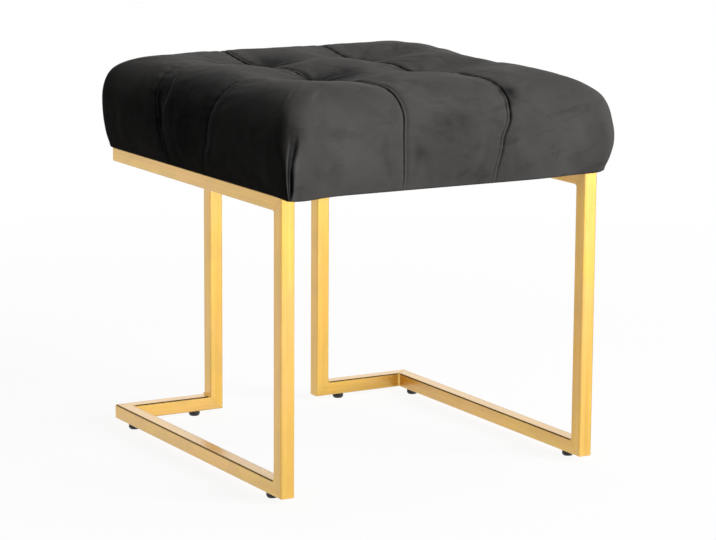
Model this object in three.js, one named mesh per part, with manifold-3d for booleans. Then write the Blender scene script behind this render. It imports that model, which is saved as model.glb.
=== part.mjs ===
// Tufted velvet stool on two mirrored square tube side frames.
// Millimetres. +Z is up, +Y points to the back, the front is -Y.
// The origin is on the floor, under the middle of the stool.

import * as THREE from 'three';
import { mergeVertices } from 'three/addons/utils/BufferGeometryUtils.js';
import Module from 'manifold-3d';

// Frame sizes
const frameWidth = 450;
const frameDepth = 470;
const frameHeight = 368;
const tubeSize = 19;
const tubeWall = 1.2;
const tubeCornerRadius = 1.6;
const tubeBoreRadius = 0.6;
const rearLegReach = 152;

// Clearances
const weldGap = 0.1;
const restGap = 0.3;
const threadClearance = 0.3;
const screwClearance = 0.8;
const keyAccessClearance = 0.9;
const twineClearance = 0.3;
const boardClearance = 0.5;
const boardCornerRelief = 8;
const dustCoverClearance = 1;
const cutOverrun = 1;

// Glides, which screw into nuts inside the floor tubes
const glideHeight = 7;
const padRadius = 7.5;
const padFootRadius = 5.8;
const padChamferHeight = 2.2;
const padSocketDepth = 4;
const studRadius = 3;
const studLength = 18.7;
const studTipChamfer = 0.8;
const nutAcrossFlats = 10;
const nutHeight = 5;
const glideEndDistance = 39;

// Screws that hold the side frames to the seat board
const screwRadius = 3;
const screwLength = 16;
const screwHeadRadius = 5.3;
const screwHeadHeight = 3.3;
const screwHeadRounding = 2;
const screwHeadRim = 1;
const screwTipChamfer = 0.8;
const hexKeyRadius = 2.3;
const hexKeyDepth = 2;
const screwSpacing = 300;
const insertRadius = 4.8;
const insertRimRadius = 6;
const insertRimHeight = 1;
const insertLength = 12;
const insertTipRoom = 1;

// Seat sizes
const seatOverhang = 20;
const cushionHeight = 127;
const cushionCrown = 4;
const fullestHeight = 63;
const sideBulge = 12;
const shoulderInset = 60;
const seatCornerRadius = 24;
const crownCornerRadius = 6;
const coverThickness = 2;
const coverTurnUnder = 45;
const boardThickness = 15;
const dustCoverThickness = 0.8;
const dustCoverLap = 12;

// Tufting: four stitched points, with creases that meet in them
const tuftPitch = 150;
const tuftSetback = 29;
const tuftDepth = 20;
const tuftRoll = 48;
const columnCreaseDepth = 12;
const columnCreaseRoll = 28;
const rowCreaseDepth = 7;
const rowCreaseRoll = 36;
const twineRadius = 1;
const upperKnotRadius = 2;
const upperKnotHeight = 2;
const lowerKnotRadius = 3.4;
const lowerKnotHeight = 1.4;

// Facet counts and shape shares
const roundSides = 16;
const clothHoleSides = 8;
const nutSides = 6;
const cornerSteps = 3;
const shoulderPowerShare = 2.4;
const coverRowAngleShares = [0.28, 0.53, 0.76, 1];
const liningRowAngleShares = [0.34, 0.68, 1];
const lowerRowHeightShares = [0, 0.08, 0.28];
const coverSideShares = { panel: [0.1, 0.35, 1], corner: [0.5, 1] };
const coverMiddleShares = [0, 0.05, 0.18, 0.5, 0.82, 0.95, 1];
const liningSideShares = { panel: [0.35, 1], corner: [1] };
const liningMiddleShares = [0, 0.18, 0.5, 0.82, 1];

// Levels and places that follow from the sizes
const seatBase = glideHeight + frameHeight;
const cushionBase = seatBase + restGap;
const boardBottom = cushionBase + coverThickness + restGap;
const boardTop = boardBottom + boardThickness;
const foamBottom = boardTop + restGap;
const seatWidth = frameWidth;
const seatDepth = frameDepth + 2 * seatOverhang;
const halfTube = tubeSize / 2;
const railX = frameWidth / 2 - halfTube;
const frontY = -(frameDepth / 2 - halfTube);
const backY = frameDepth / 2 - halfTube;
const rearLegX = frameWidth / 2 - rearLegReach + halfTube;
const floorZ = glideHeight + halfTube;
const topZ = seatBase - halfTube;
const tuftColumns = [-tuftPitch / 2, tuftPitch / 2];
const tuftRows = [tuftSetback - tuftPitch / 2, tuftSetback + tuftPitch / 2];
const shoulderHeight = cushionHeight - cushionCrown;

const gold = { color: 0xe0b45c, roughness: 0.28, metalness: 1 };
const blackPlastic = { color: 0x161616, roughness: 0.55, metalness: 0 };
const zincSteel = { color: 0xb4b8bb, roughness: 0.4, metalness: 1 };
const birchPly = { color: 0xcda873, roughness: 0.75, metalness: 0 };
const paleFoam = { color: 0xe9dfb8, roughness: 0.95, metalness: 0 };
const charcoalVelvet = { color: 0x3f3d3c, roughness: 0.92, metalness: 0 };
const blackLining = { color: 0x1c1c1d, roughness: 0.95, metalness: 0 };
const waxedTwine = { color: 0xb9a98a, roughness: 0.85, metalness: 0 };

const wasm = await Module();
wasm.setup();

const stool = new THREE.Group();

/** Adds a geometry to the stool as a named mesh with its own material. */
function addPiece(name, geometry, finish) {
  const mesh = new THREE.Mesh(geometry, new THREE.MeshStandardMaterial(finish));
  mesh.name = name;
  stool.add(mesh);
}

/** Turns a closed three.js geometry into a solid that can be cut. */
function toSolid(geometry) {
  const bare = geometry.clone();
  bare.deleteAttribute('normal');
  bare.deleteAttribute('uv');
  const merged = mergeVertices(bare);
  const vertProperties = new Float32Array(merged.attributes.position.array);
  const triVerts = new Uint32Array(merged.index.array);
  return new wasm.Manifold(new wasm.Mesh({ numProp: 3, vertProperties, triVerts }));
}

/** Turns a cut solid back into a three.js geometry. */
function toGeometry(solid) {
  const mesh = solid.getMesh();
  const geometry = new THREE.BufferGeometry();
  geometry.setAttribute('position', new THREE.BufferAttribute(mesh.vertProperties, mesh.numProp));
  geometry.setIndex(new THREE.BufferAttribute(mesh.triVerts, 1));
  return geometry;
}

/** Cuts each of the tools out of a geometry. */
function cutAway(geometry, tools) {
  let solid = toSolid(geometry);
  for (const tool of tools) solid = solid.subtract(toSolid(tool));
  return toGeometry(solid);
}

/** A round bar along Z, from its bottom to its top. */
function uprightBar(x, y, bottom, top, radius, sides = roundSides) {
  const bar = new THREE.CylinderGeometry(radius, radius, top - bottom, sides);
  bar.rotateX(Math.PI / 2);
  bar.translate(x, y, (bottom + top) / 2);
  return bar;
}

/** A body turned about a vertical axis, from [radius, height] points listed bottom to top. */
function turned(profile, x, y, z) {
  const points = profile.map(([radius, height]) => new THREE.Vector2(radius, height));
  const body = new THREE.LatheGeometry(points, roundSides);
  body.rotateX(Math.PI / 2);
  body.translate(x, y, z);
  return body;
}

/** Draws a rectangle with rounded corners into a path or a shape. */
function roundedRectangle(outline, halfWidth, halfDepth, radius) {
  outline.moveTo(halfWidth, halfDepth - radius);
  outline.absarc(halfWidth - radius, halfDepth - radius, radius, 0, Math.PI / 2);
  outline.absarc(radius - halfWidth, halfDepth - radius, radius, Math.PI / 2, Math.PI);
  outline.absarc(radius - halfWidth, radius - halfDepth, radius, Math.PI, 1.5 * Math.PI);
  outline.absarc(halfWidth - radius, radius - halfDepth, radius, 1.5 * Math.PI, 2 * Math.PI);
  outline.closePath();
  return outline;
}

/** The hollow section of the frame tube. */
function tubeSection() {
  const section = roundedRectangle(new THREE.Shape(), halfTube, halfTube, tubeCornerRadius);
  const halfBore = halfTube - tubeWall;
  section.holes.push(roundedRectangle(new THREE.Path(), halfBore, halfBore, tubeBoreRadius));
  return section;
}

/**
 * A frame tube between two corners of the centre line. Each end is cut on the mitre
 * plane that it shares with the tube that leaves that corner in the given direction.
 */
function mitredTube(start, end, leavesStart, leavesEnd) {
  const along = end.clone().sub(start);
  const length = along.length();
  along.normalize();
  const across = leavesStart.clone();
  const upward = new THREE.Vector3().crossVectors(along, across);
  const tube = new THREE.ExtrudeGeometry(tubeSection(), {
    depth: length,
    bevelEnabled: false,
    curveSegments: cornerSteps,
  });
  const place = tube.attributes.position;
  for (let index = 0; index < place.count; index += 1) {
    const point = start.clone();
    point.addScaledVector(across, place.getX(index));
    point.addScaledVector(upward, place.getY(index));
    const atStart = place.getZ(index) < halfTube;
    const offset = point.clone().sub(start);
    const reach = atStart
      ? offset.dot(leavesStart) + weldGap / 2
      : length - offset.dot(leavesEnd) - weldGap / 2;
    point.addScaledVector(along, reach);
    place.setXYZ(index, point.x, point.y, point.z);
  }
  return tube;
}

const toLeft = new THREE.Vector3(-1, 0, 0);
const toRight = new THREE.Vector3(1, 0, 0);
const toFront = new THREE.Vector3(0, -1, 0);
const toBack = new THREE.Vector3(0, 1, 0);
const upwards = new THREE.Vector3(0, 0, 1);
const downwards = new THREE.Vector3(0, 0, -1);

/** The places of one side's glides, as [x, y], with side -1 on the left and 1 on the right. */
function glidePlaces(side) {
  const railEnd = frameDepth / 2 - glideEndDistance;
  const returnEnd = frameWidth / 2 - rearLegReach + glideEndDistance;
  return {
    front: [side * railX, -railEnd],
    rear: [side * railX, railEnd],
    inner: [side * returnEnd, backY],
  };
}

/** The places of one side's seat screws, as [x, y]. */
function screwPlaces(side) {
  return {
    front: [side * railX, -screwSpacing / 2],
    rear: [side * railX, screwSpacing / 2],
    inner: [side * (railX + rearLegX) / 2, backY],
  };
}

/** Holes through the lower wall of a floor tube. */
function studHoles(places) {
  const top = glideHeight + tubeWall + cutOverrun;
  return places.map(([x, y]) => uprightBar(
    x, y, glideHeight - cutOverrun, top, studRadius + threadClearance,
  ));
}

/** Holes in a top tube: one for each screw in the upper wall, one for its head in the lower wall. */
function screwHoles(places) {
  const bottom = seatBase - tubeSize - cutOverrun;
  return places.flatMap(([x, y]) => [
    uprightBar(x, y, topZ, seatBase + cutOverrun, screwRadius + screwClearance),
    uprightBar(x, y, bottom, topZ, screwHeadRadius + keyAccessClearance),
  ]);
}

/** The six tubes of one side frame, welded into a closed loop. */
function addSideFrame(sideName, side) {
  const inwards = side < 0 ? toRight : toLeft;
  const outwards = side < 0 ? toLeft : toRight;
  const corner = {
    topFront: new THREE.Vector3(side * railX, frontY, topZ),
    floorFront: new THREE.Vector3(side * railX, frontY, floorZ),
    topBack: new THREE.Vector3(side * railX, backY, topZ),
    floorBack: new THREE.Vector3(side * railX, backY, floorZ),
    topInner: new THREE.Vector3(side * rearLegX, backY, topZ),
    floorInner: new THREE.Vector3(side * rearLegX, backY, floorZ),
  };
  const glide = glidePlaces(side);
  const screw = screwPlaces(side);
  const topRail = mitredTube(corner.topFront, corner.topBack, downwards, inwards);
  const topReturn = mitredTube(corner.topBack, corner.topInner, toFront, downwards);
  const frontLeg = mitredTube(corner.floorFront, corner.topFront, toBack, toBack);
  const rearLeg = mitredTube(corner.floorInner, corner.topInner, outwards, outwards);
  const floorRail = mitredTube(corner.floorFront, corner.floorBack, upwards, inwards);
  const floorReturn = mitredTube(corner.floorBack, corner.floorInner, toFront, upwards);
  addPiece(`top_rail_${sideName}`, cutAway(topRail, screwHoles([screw.front, screw.rear])), gold);
  addPiece(`top_return_${sideName}`, cutAway(topReturn, screwHoles([screw.inner])), gold);
  addPiece(`front_leg_${sideName}`, frontLeg, gold);
  addPiece(`rear_leg_${sideName}`, rearLeg, gold);
  addPiece(`floor_rail_${sideName}`, cutAway(floorRail, studHoles([glide.front, glide.rear])), gold);
  addPiece(`floor_return_${sideName}`, cutAway(floorReturn, studHoles([glide.inner])), gold);
}

/** A glide: a moulded pad, the stud pressed into it, and the nut welded inside the tube. */
function addGlide(name, x, y) {
  const padTop = glideHeight - restGap;
  const socketRadius = studRadius + threadClearance;
  const socketBottom = padTop - padSocketDepth;
  const pad = turned([
    [0, 0],
    [padFootRadius, 0],
    [padRadius, padChamferHeight],
    [padRadius, padTop],
    [socketRadius, padTop],
    [socketRadius, socketBottom],
    [0, socketBottom],
  ], x, y, 0);
  const studBottom = socketBottom + restGap;
  const stud = turned([
    [0, 0],
    [studRadius, 0],
    [studRadius, studLength - studTipChamfer],
    [studRadius - studTipChamfer, studLength],
    [0, studLength],
  ], x, y, studBottom);
  const hexagon = new THREE.Shape();
  const nutCornerRadius = nutAcrossFlats / 2 / Math.cos(Math.PI / nutSides);
  for (let side = 0; side < nutSides; side += 1) {
    const angle = (side / nutSides) * 2 * Math.PI;
    hexagon.lineTo(nutCornerRadius * Math.cos(angle), nutCornerRadius * Math.sin(angle));
  }
  const nutBlank = new THREE.ExtrudeGeometry(hexagon, { depth: nutHeight, bevelEnabled: false });
  nutBlank.translate(x, y, glideHeight + tubeWall + restGap);
  const nutBottom = glideHeight + tubeWall - cutOverrun;
  const nutTop = glideHeight + tubeWall + restGap + nutHeight + cutOverrun;
  const nut = cutAway(nutBlank, [uprightBar(x, y, nutBottom, nutTop, studRadius + threadClearance)]);
  addPiece(`glide_pad_${name}`, pad, blackPlastic);
  addPiece(`glide_stud_${name}`, stud, zincSteel);
  addPiece(`glide_nut_${name}`, nut, zincSteel);
}

/** A button head screw inside the top tube, and the threaded insert that it screws into. */
function addSeatScrew(name, x, y) {
  const headTop = -restGap;
  const headBottom = headTop - screwHeadHeight;
  const screw = turned([
    [0, headBottom + hexKeyDepth],
    [hexKeyRadius, headBottom + hexKeyDepth],
    [hexKeyRadius, headBottom],
    [screwHeadRadius - screwHeadRounding, headBottom],
    [screwHeadRadius, headTop - screwHeadRim],
    [screwHeadRadius, headTop],
    [screwRadius, headTop],
    [screwRadius, screwLength - screwTipChamfer],
    [screwRadius - screwTipChamfer, screwLength],
    [0, screwLength],
  ], x, y, seatBase - tubeWall);
  const boreRadius = screwRadius + threadClearance;
  const insert = turned([
    [boreRadius, 0],
    [insertRimRadius, 0],
    [insertRimRadius, insertRimHeight],
    [insertRadius, insertRimHeight],
    [insertRadius, insertLength],
    [boreRadius, insertLength],
    [boreRadius, 0],
  ], x, y, boardBottom);
  addPiece(`seat_screw_${name}`, screw, zincSteel);
  addPiece(`board_insert_${name}`, insert, zincSteel);
}

/** How far a rounded fold has sunk at a distance from its crease: 1 in the crease, 0 past the roll. */
function foldShare(distance, roll) {
  const share = Math.max(0, 1 - distance / roll);
  return 1 - Math.sqrt(1 - share * share);
}

/** The distance from a value to the nearest of some others. */
function nearest(value, others) {
  return Math.min(...others.map((other) => Math.abs(value - other)));
}

/** How deep the tufting draws the surface in at a place, with the creases scaled by a share. */
function tuftedDepth(x, y, creaseShare) {
  const fromColumn = nearest(x, tuftColumns);
  const fromRow = nearest(y, tuftRows);
  const column = columnCreaseDepth * foldShare(fromColumn, columnCreaseRoll);
  const row = rowCreaseDepth * foldShare(fromRow, rowCreaseRoll);
  const tuft = tuftDepth * foldShare(Math.hypot(fromColumn, fromRow), tuftRoll);
  return creaseShare * Math.max(column, row) + tuft;
}

/**
 * The cushion's side as rows from the board up to the crown: how far each stands out past
 * the frame, its height, and the direction that faces out of the cushion there.
 */
function sideRows(angleShares) {
  const rows = lowerRowHeightShares.map((share) => {
    const drop = 1 - share;
    const spread = Math.sqrt(1 - drop * drop);
    return {
      offset: sideBulge * spread,
      height: fullestHeight * share,
      outward: new THREE.Vector2(spread / sideBulge, -drop / fullestHeight).normalize(),
    };
  });
  rows.push({ offset: sideBulge, height: fullestHeight, outward: new THREE.Vector2(1, 0) });
  const run = sideBulge + shoulderInset;
  const rise = shoulderHeight - fullestHeight;
  for (const share of angleShares) {
    const angle = (share * Math.PI) / 2;
    const across = Math.max(0, Math.cos(angle)) ** (2 / shoulderPowerShare);
    const up = Math.sin(angle) ** (2 / shoulderPowerShare);
    const normalAcross = across ** (shoulderPowerShare - 1) / run;
    const normalUp = up ** (shoulderPowerShare - 1) / rise;
    rows.push({
      offset: run * across - shoulderInset,
      height: fullestHeight + rise * up,
      outward: new THREE.Vector2(normalAcross, normalUp).normalize(),
    });
  }
  return rows;
}

/** Grid lines across the cushion, from one edge to the other, each as a function of the edge. */
function gridLines(creases, sideShares, middleShares) {
  const [low, high] = creases;
  const sideLine = (direction, crease, kind, share) => (half, radius) => {
    const flatEnd = direction * (half - radius);
    return kind === 'panel' ? crease + share * (flatEnd - crease) : flatEnd + direction * share * radius;
  };
  const lines = middleShares.map((share) => () => low + share * (high - low));
  for (const kind of ['panel', 'corner']) {
    for (const share of sideShares[kind]) {
      lines.unshift(sideLine(-1, low, kind, share));
      lines.push(sideLine(1, high, kind, share));
    }
  }
  return lines;
}

/** Draws a point in the square corner of an outline onto the rounded corner. */
function roundedCorner(x, y, halfWidth, halfDepth, radius) {
  const beyondX = Math.abs(x) - (halfWidth - radius);
  const beyondY = Math.abs(y) - (halfDepth - radius);
  if (beyondX <= 0 || beyondY <= 0) return [x, y];
  const shareX = beyondX / radius;
  const shareY = beyondY / radius;
  const roundX = halfWidth - radius + beyondX * Math.sqrt(1 - (shareY * shareY) / 2);
  const roundY = halfDepth - radius + beyondY * Math.sqrt(1 - (shareX * shareX) / 2);
  return [Math.sign(x) * roundX, Math.sign(y) * roundY];
}

/** The grid places round the edge of a square grid, counted anticlockwise from the front left. */
function edgePlaces(cells) {
  const places = [];
  for (let step = 0; step < cells; step += 1) places.push([step, 0]);
  for (let step = 0; step < cells; step += 1) places.push([cells, step]);
  for (let step = cells; step > 0; step -= 1) places.push([step, cells]);
  for (let step = cells; step > 0; step -= 1) places.push([0, step]);
  return places;
}

/** A grid place on one of the cushion's outlines, as [x, y], and that outline's half sizes. */
function onOutline(columnAt, lineAt, offset) {
  const halfWidth = seatWidth / 2 + offset;
  const halfDepth = seatDepth / 2 + offset;
  const radius = Math.max(seatCornerRadius + offset, crownCornerRadius);
  const x = columnAt(halfWidth, radius);
  const y = lineAt(halfDepth, radius);
  return [...roundedCorner(x, y, halfWidth, halfDepth, radius), halfWidth, halfDepth];
}

/** A grid place on one row of the cushion, drawn in by the tufting and by the given inset. */
function cushionPoint(columnAt, lineAt, row, inset, isTop) {
  const fadeStart = foamBottom - cushionBase;
  const creaseShare = Math.max(0, (row.height - fadeStart) / (shoulderHeight - fadeStart));
  const [plainX, plainY, halfWidth, halfDepth] = onOutline(columnAt, lineAt, row.offset);
  const sink = inset + tuftedDepth(plainX, plainY, creaseShare);
  const [x, y] = onOutline(columnAt, lineAt, row.offset - sink * row.outward.x);
  const acrossShare = 1 - (plainX / halfWidth) ** 2;
  const deepShare = 1 - (plainY / halfDepth) ** 2;
  const crown = isTop ? cushionCrown * Math.max(0, acrossShare * deepShare) : 0;
  return [x, y, cushionBase + row.height + crown - sink * row.outward.y];
}

/** The two triangles between four corners, as indices. */
function twoTriangles(corners) {
  return [corners[0], corners[1], corners[2], corners[0], corners[2], corners[3]];
}

/**
 * The tufted cushion as a closed body, a given distance inside the velvet's outer face.
 * Rows run up the side to the crown, and a grid with a line along each crease covers the top.
 */
function cushionBody(inset, angleShares, sideShares, middleShares) {
  const columns = gridLines(tuftColumns, sideShares, middleShares);
  const lines = gridLines(tuftRows, sideShares, middleShares);
  const cells = columns.length - 1;
  const edge = edgePlaces(cells);
  const rows = sideRows(angleShares);
  const crownRow = rows.pop();
  const positions = [];
  const indices = [];
  for (const row of rows) {
    for (const [column, line] of edge) {
      positions.push(...cushionPoint(columns[column], lines[line], row, inset, false));
    }
  }
  for (const lineAt of lines) {
    for (const columnAt of columns) {
      positions.push(...cushionPoint(columnAt, lineAt, crownRow, inset, true));
    }
  }
  const topStart = rows.length * edge.length;
  const topIndex = (column, line) => topStart + line * (cells + 1) + column;
  const sideIndex = (row, step) => {
    const place = step % edge.length;
    return row === rows.length ? topIndex(...edge[place]) : row * edge.length + place;
  };
  for (let line = 0; line < cells; line += 1) {
    for (let column = 0; column < cells; column += 1) {
      indices.push(...twoTriangles([
        topIndex(column, line),
        topIndex(column + 1, line),
        topIndex(column + 1, line + 1),
        topIndex(column, line + 1),
      ]));
    }
  }
  for (let row = 0; row < rows.length; row += 1) {
    for (let step = 0; step < edge.length; step += 1) {
      indices.push(...twoTriangles([
        sideIndex(row, step),
        sideIndex(row, step + 1),
        sideIndex(row + 1, step + 1),
        sideIndex(row + 1, step),
      ]));
    }
  }
  const centre = positions.length / 3;
  positions.push(0, 0, cushionBase + inset);
  for (let step = 0; step < edge.length; step += 1) {
    indices.push(centre, sideIndex(0, step + 1), sideIndex(0, step));
  }
  const body = new THREE.BufferGeometry();
  body.setAttribute('position', new THREE.Float32BufferAttribute(positions, 3));
  body.setIndex(indices);
  return body;
}

/** A block given by its half width, half depth, bottom and top. */
function block(halfWidth, halfDepth, bottom, top) {
  const box = new THREE.BoxGeometry(2 * halfWidth, 2 * halfDepth, top - bottom);
  box.translate(0, 0, (bottom + top) / 2);
  return box;
}

/** Every place where a twine tie passes through the seat. */
function tiePlaces() {
  return tuftColumns.flatMap((x) => tuftRows.map((y) => [x, y]));
}

/** Every place where a seat screw enters the seat. */
function allScrewPlaces() {
  return [-1, 1].flatMap((side) => Object.values(screwPlaces(side)));
}

/** The height under the velvet at a tuft point, less the given clearance. */
function tuftFloor(x, y, clearance) {
  const halfWidth = seatWidth / 2 - shoulderInset;
  const halfDepth = seatDepth / 2 - shoulderInset;
  const crown = cushionCrown * (1 - (x / halfWidth) ** 2) * (1 - (y / halfDepth) ** 2);
  return cushionBase + shoulderHeight + crown - tuftedDepth(x, y, 1) - coverThickness - clearance;
}

/** The velvet cover: a tufted shell, turned under the board and open in the middle below. */
function addCover() {
  const outside = cushionBody(0, coverRowAngleShares, coverSideShares, coverMiddleShares);
  const inside = cushionBody(coverThickness, liningRowAngleShares, liningSideShares, liningMiddleShares);
  const windowTop = cushionBase + coverThickness + cutOverrun;
  const window = block(
    seatWidth / 2 - coverTurnUnder,
    seatDepth / 2 - coverTurnUnder,
    cushionBase - cutOverrun,
    windowTop,
  );
  const holes = allScrewPlaces().map(([x, y]) => uprightBar(
    x, y, cushionBase - cutOverrun, windowTop, screwRadius + screwClearance, clothHoleSides,
  ));
  addPiece('velvet_cover', cutAway(outside, [inside, window, ...holes]), charcoalVelvet);
}

/** The foam block under the velvet, flat on the board, with a hole for each tie. */
function addFoam() {
  const body = cushionBody(
    coverThickness + restGap, liningRowAngleShares, liningSideShares, liningMiddleShares,
  );
  const below = block(seatWidth, seatDepth, cushionBase - cutOverrun, foamBottom);
  const top = cushionBase + cushionHeight;
  const holes = tiePlaces().map(([x, y]) => uprightBar(
    x, y, cushionBase, top, upperKnotRadius + twineClearance,
  ));
  addPiece('seat_foam', cutAway(body, [below, ...holes]), paleFoam);
}

/** The plywood board that carries the cushion and takes the screws. */
function addBoard() {
  const outline = roundedRectangle(
    new THREE.Shape(),
    seatWidth / 2 - boardClearance,
    seatDepth / 2 - boardClearance,
    seatCornerRadius + boardCornerRelief,
  );
  const board = new THREE.ExtrudeGeometry(outline, {
    depth: boardThickness,
    bevelEnabled: false,
    curveSegments: 2 * cornerSteps,
  });
  board.translate(0, 0, boardBottom);
  const insertHoles = allScrewPlaces().flatMap(([x, y]) => {
    const holeTop = boardBottom + insertLength + insertTipRoom;
    const rimTop = boardBottom + insertRimHeight + restGap;
    return [
      uprightBar(x, y, boardBottom - cutOverrun, holeTop, insertRadius + restGap),
      uprightBar(x, y, boardBottom - cutOverrun, rimTop, insertRimRadius + restGap),
    ];
  });
  const tieHoles = tiePlaces().map(([x, y]) => uprightBar(
    x, y, boardBottom - cutOverrun, boardTop + cutOverrun, upperKnotRadius + twineClearance,
  ));
  addPiece('seat_board', cutAway(board, [...insertHoles, ...tieHoles]), birchPly);
}

/** The black lining under the board, between the rails. */
function addDustCover() {
  const halfWidth = frameWidth / 2 - tubeSize - dustCoverClearance;
  const front = -(seatDepth / 2 - coverTurnUnder + dustCoverLap);
  const back = frameDepth / 2 - tubeSize - dustCoverClearance;
  const top = cushionBase - restGap;
  const lining = new THREE.BoxGeometry(2 * halfWidth, back - front, dustCoverThickness);
  lining.translate(0, (front + back) / 2, top - dustCoverThickness / 2);
  addPiece('dust_cover', lining, blackLining);
}

/** A twine tie from a tuft point down to a knot under the board. */
function addTie(name, x, y) {
  const bottom = boardBottom - restGap - lowerKnotHeight;
  const top = tuftFloor(x, y, restGap) - bottom;
  const tie = turned([
    [0, 0],
    [lowerKnotRadius, 0],
    [lowerKnotRadius, lowerKnotHeight],
    [twineRadius, lowerKnotHeight],
    [twineRadius, top - upperKnotHeight],
    [upperKnotRadius, top - upperKnotHeight / 2],
    [twineRadius, top],
    [0, top],
  ], x, y, bottom);
  addPiece(`tuft_tie_${name}`, tie, waxedTwine);
}

for (const [sideName, side] of [['left', -1], ['right', 1]]) {
  addSideFrame(sideName, side);
  for (const [place, [x, y]] of Object.entries(glidePlaces(side))) {
    addGlide(`${place}_${sideName}`, x, y);
  }
  for (const [place, [x, y]] of Object.entries(screwPlaces(side))) {
    addSeatScrew(`${place}_${sideName}`, x, y);
  }
}
addBoard();
addFoam();
addCover();
addDustCover();
for (const [sideName, x] of [['left', tuftColumns[0]], ['right', tuftColumns[1]]]) {
  addTie(`front_${sideName}`, x, tuftRows[0]);
  addTie(`rear_${sideName}`, x, tuftRows[1]);
}

export default stool;
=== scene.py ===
"""The visible model of a tufted velvet stool on two square tube side frames.

Metres, except where a class says millimetres. +Z is up, +Y points to the back, and the
origin is on the floor under the middle of the stool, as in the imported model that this
script dresses.
"""

import logging
import math
from dataclasses import dataclass, field
from enum import Enum
from typing import Callable, ClassVar, Iterable, Iterator, Sequence

import bpy
from mathutils import Matrix, Vector, noise


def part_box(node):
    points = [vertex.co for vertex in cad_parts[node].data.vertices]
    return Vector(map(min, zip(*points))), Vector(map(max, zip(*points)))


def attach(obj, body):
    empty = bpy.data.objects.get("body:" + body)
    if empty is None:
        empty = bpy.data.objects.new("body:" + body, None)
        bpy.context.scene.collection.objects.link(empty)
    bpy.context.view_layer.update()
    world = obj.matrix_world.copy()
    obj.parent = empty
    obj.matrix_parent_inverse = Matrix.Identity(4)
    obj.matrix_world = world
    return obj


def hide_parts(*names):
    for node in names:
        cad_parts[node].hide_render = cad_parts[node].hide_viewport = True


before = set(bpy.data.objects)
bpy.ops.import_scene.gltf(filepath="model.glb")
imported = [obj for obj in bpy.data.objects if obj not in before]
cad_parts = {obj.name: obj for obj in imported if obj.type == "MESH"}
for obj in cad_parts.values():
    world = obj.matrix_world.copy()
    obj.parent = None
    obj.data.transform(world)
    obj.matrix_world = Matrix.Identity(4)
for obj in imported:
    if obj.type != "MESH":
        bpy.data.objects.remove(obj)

log = logging.getLogger("stool")

Socket = bpy.types.NodeSocket
Node = bpy.types.Node
NodeTree = bpy.types.NodeTree
Material = bpy.types.Material
Piece = bpy.types.Object
Colour = tuple[float, float, float]
Place = tuple[float, float, float]
Plan = tuple[float, float]
Knots = tuple[tuple[float, float], ...]
Zone = tuple[float, float, float, float, float]
GridLine = Callable[[float, float], float]

MM = 0.001
BODY = "stool"
ORIGIN = (0.0, 0.0, 0.0)
BLACK = (0.0, 0.0, 0.0)
WHITE = (1.0, 1.0, 1.0)
# Where the tubes' centre lines meet, in metres: the rails' X, the back tubes' Y, the rear
# legs' X, the height halfway between the floor tubes and the top tubes, and half the rise.
MITRE_SIDE = 0.2155
MITRE_BACK = 0.2255
MITRE_INNER = 0.0825
MITRE_MIDDLE = 0.191
MITRE_RISE = 0.1745
# The band that nearly all of a noise's values lie in.
NOISE_BAND = (0.3, 0.7)


class Side(Enum):
    """The two mirrored side frames."""

    LEFT = "left"
    RIGHT = "right"


class Grain(Enum):
    """The axis that a tube's brushing runs along."""

    X = 0
    Y = 1
    Z = 2


def smooth(share: float) -> float:
    """Eases a share from 0 to 1, flat at both ends."""
    held = min(1.0, max(0.0, share))
    return held * held * (3.0 - 2.0 * held)


def rising(value: float, start: float, over: float) -> float:
    """Rises smoothly from 0 at a start to 1 at a length past it."""
    return smooth((value - start) / over)


def bell(away: float, width: float) -> float:
    """A bell curve, 1 in the middle and 1/e at its width."""
    return math.exp(-((away / width) ** 2))


def zoned(zones: Iterable[Zone], x: float, y: float) -> float:
    """Adds up what soft oval zones give at a place.

    Args:
        zones: for each, its middle's x and y, its width, its depth and its amount.
        x: the place across.
        y: the place along.

    Returns:
        The sum of the zones' amounts there.
    """
    return sum(
        amount * math.exp(-(((x - middle) / wide) ** 2) - ((y - along) / deep) ** 2)
        for middle, along, wide, deep, amount in zones
    )


def read_curve(knots: Knots, place: float) -> float:
    """Reads a smooth curve that is given by its knots.

    Args:
        knots: (place, value) pairs in rising order of place.
        place: where the curve is read.

    Returns:
        The value there; past the ends it stays at the end values.
    """
    if place <= knots[0][0]:
        return knots[0][1]
    for (start, low), (end, high) in zip(knots, knots[1:]):
        if place <= end:
            return low + (high - low) * smooth((place - start) / (end - start))
    return knots[-1][1]


def deselect() -> None:
    """Leaves object mode's selection empty."""
    bpy.ops.object.select_all(action="DESELECT")


def activate(piece: Piece) -> None:
    """Selects one object alone and makes it the active one."""
    deselect()
    piece.select_set(True)
    bpy.context.view_layer.objects.active = piece


def mesh_object(
    name: str, points: Sequence[Sequence[float]], faces: Sequence[Sequence[int]]
) -> Piece:
    """Makes an object from points and faces, with its place in its mesh.

    Args:
        name: the object's name.
        points: its corners, in metres.
        faces: the corner numbers of each face, anticlockwise from outside.

    Returns:
        The new object.
    """
    mesh = bpy.data.meshes.new(name)
    mesh.from_pydata([tuple(point) for point in points], [], [tuple(face) for face in faces])
    mesh.validate()
    piece = bpy.data.objects.new(name, mesh)
    bpy.context.scene.collection.objects.link(piece)
    return piece


def bar(size: Place) -> Piece:
    """Starts a piece as a bar about the origin, and leaves it in edit mode.

    Args:
        size: its size along X, Y and Z, in millimetres.

    Returns:
        The new object.
    """
    deselect()
    bpy.ops.mesh.primitive_cube_add(size=1.0, location=ORIGIN)
    bpy.ops.object.mode_set(mode="EDIT")
    bpy.ops.transform.resize(value=[side * MM for side in size], center_override=ORIGIN)
    return bpy.context.object


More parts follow.
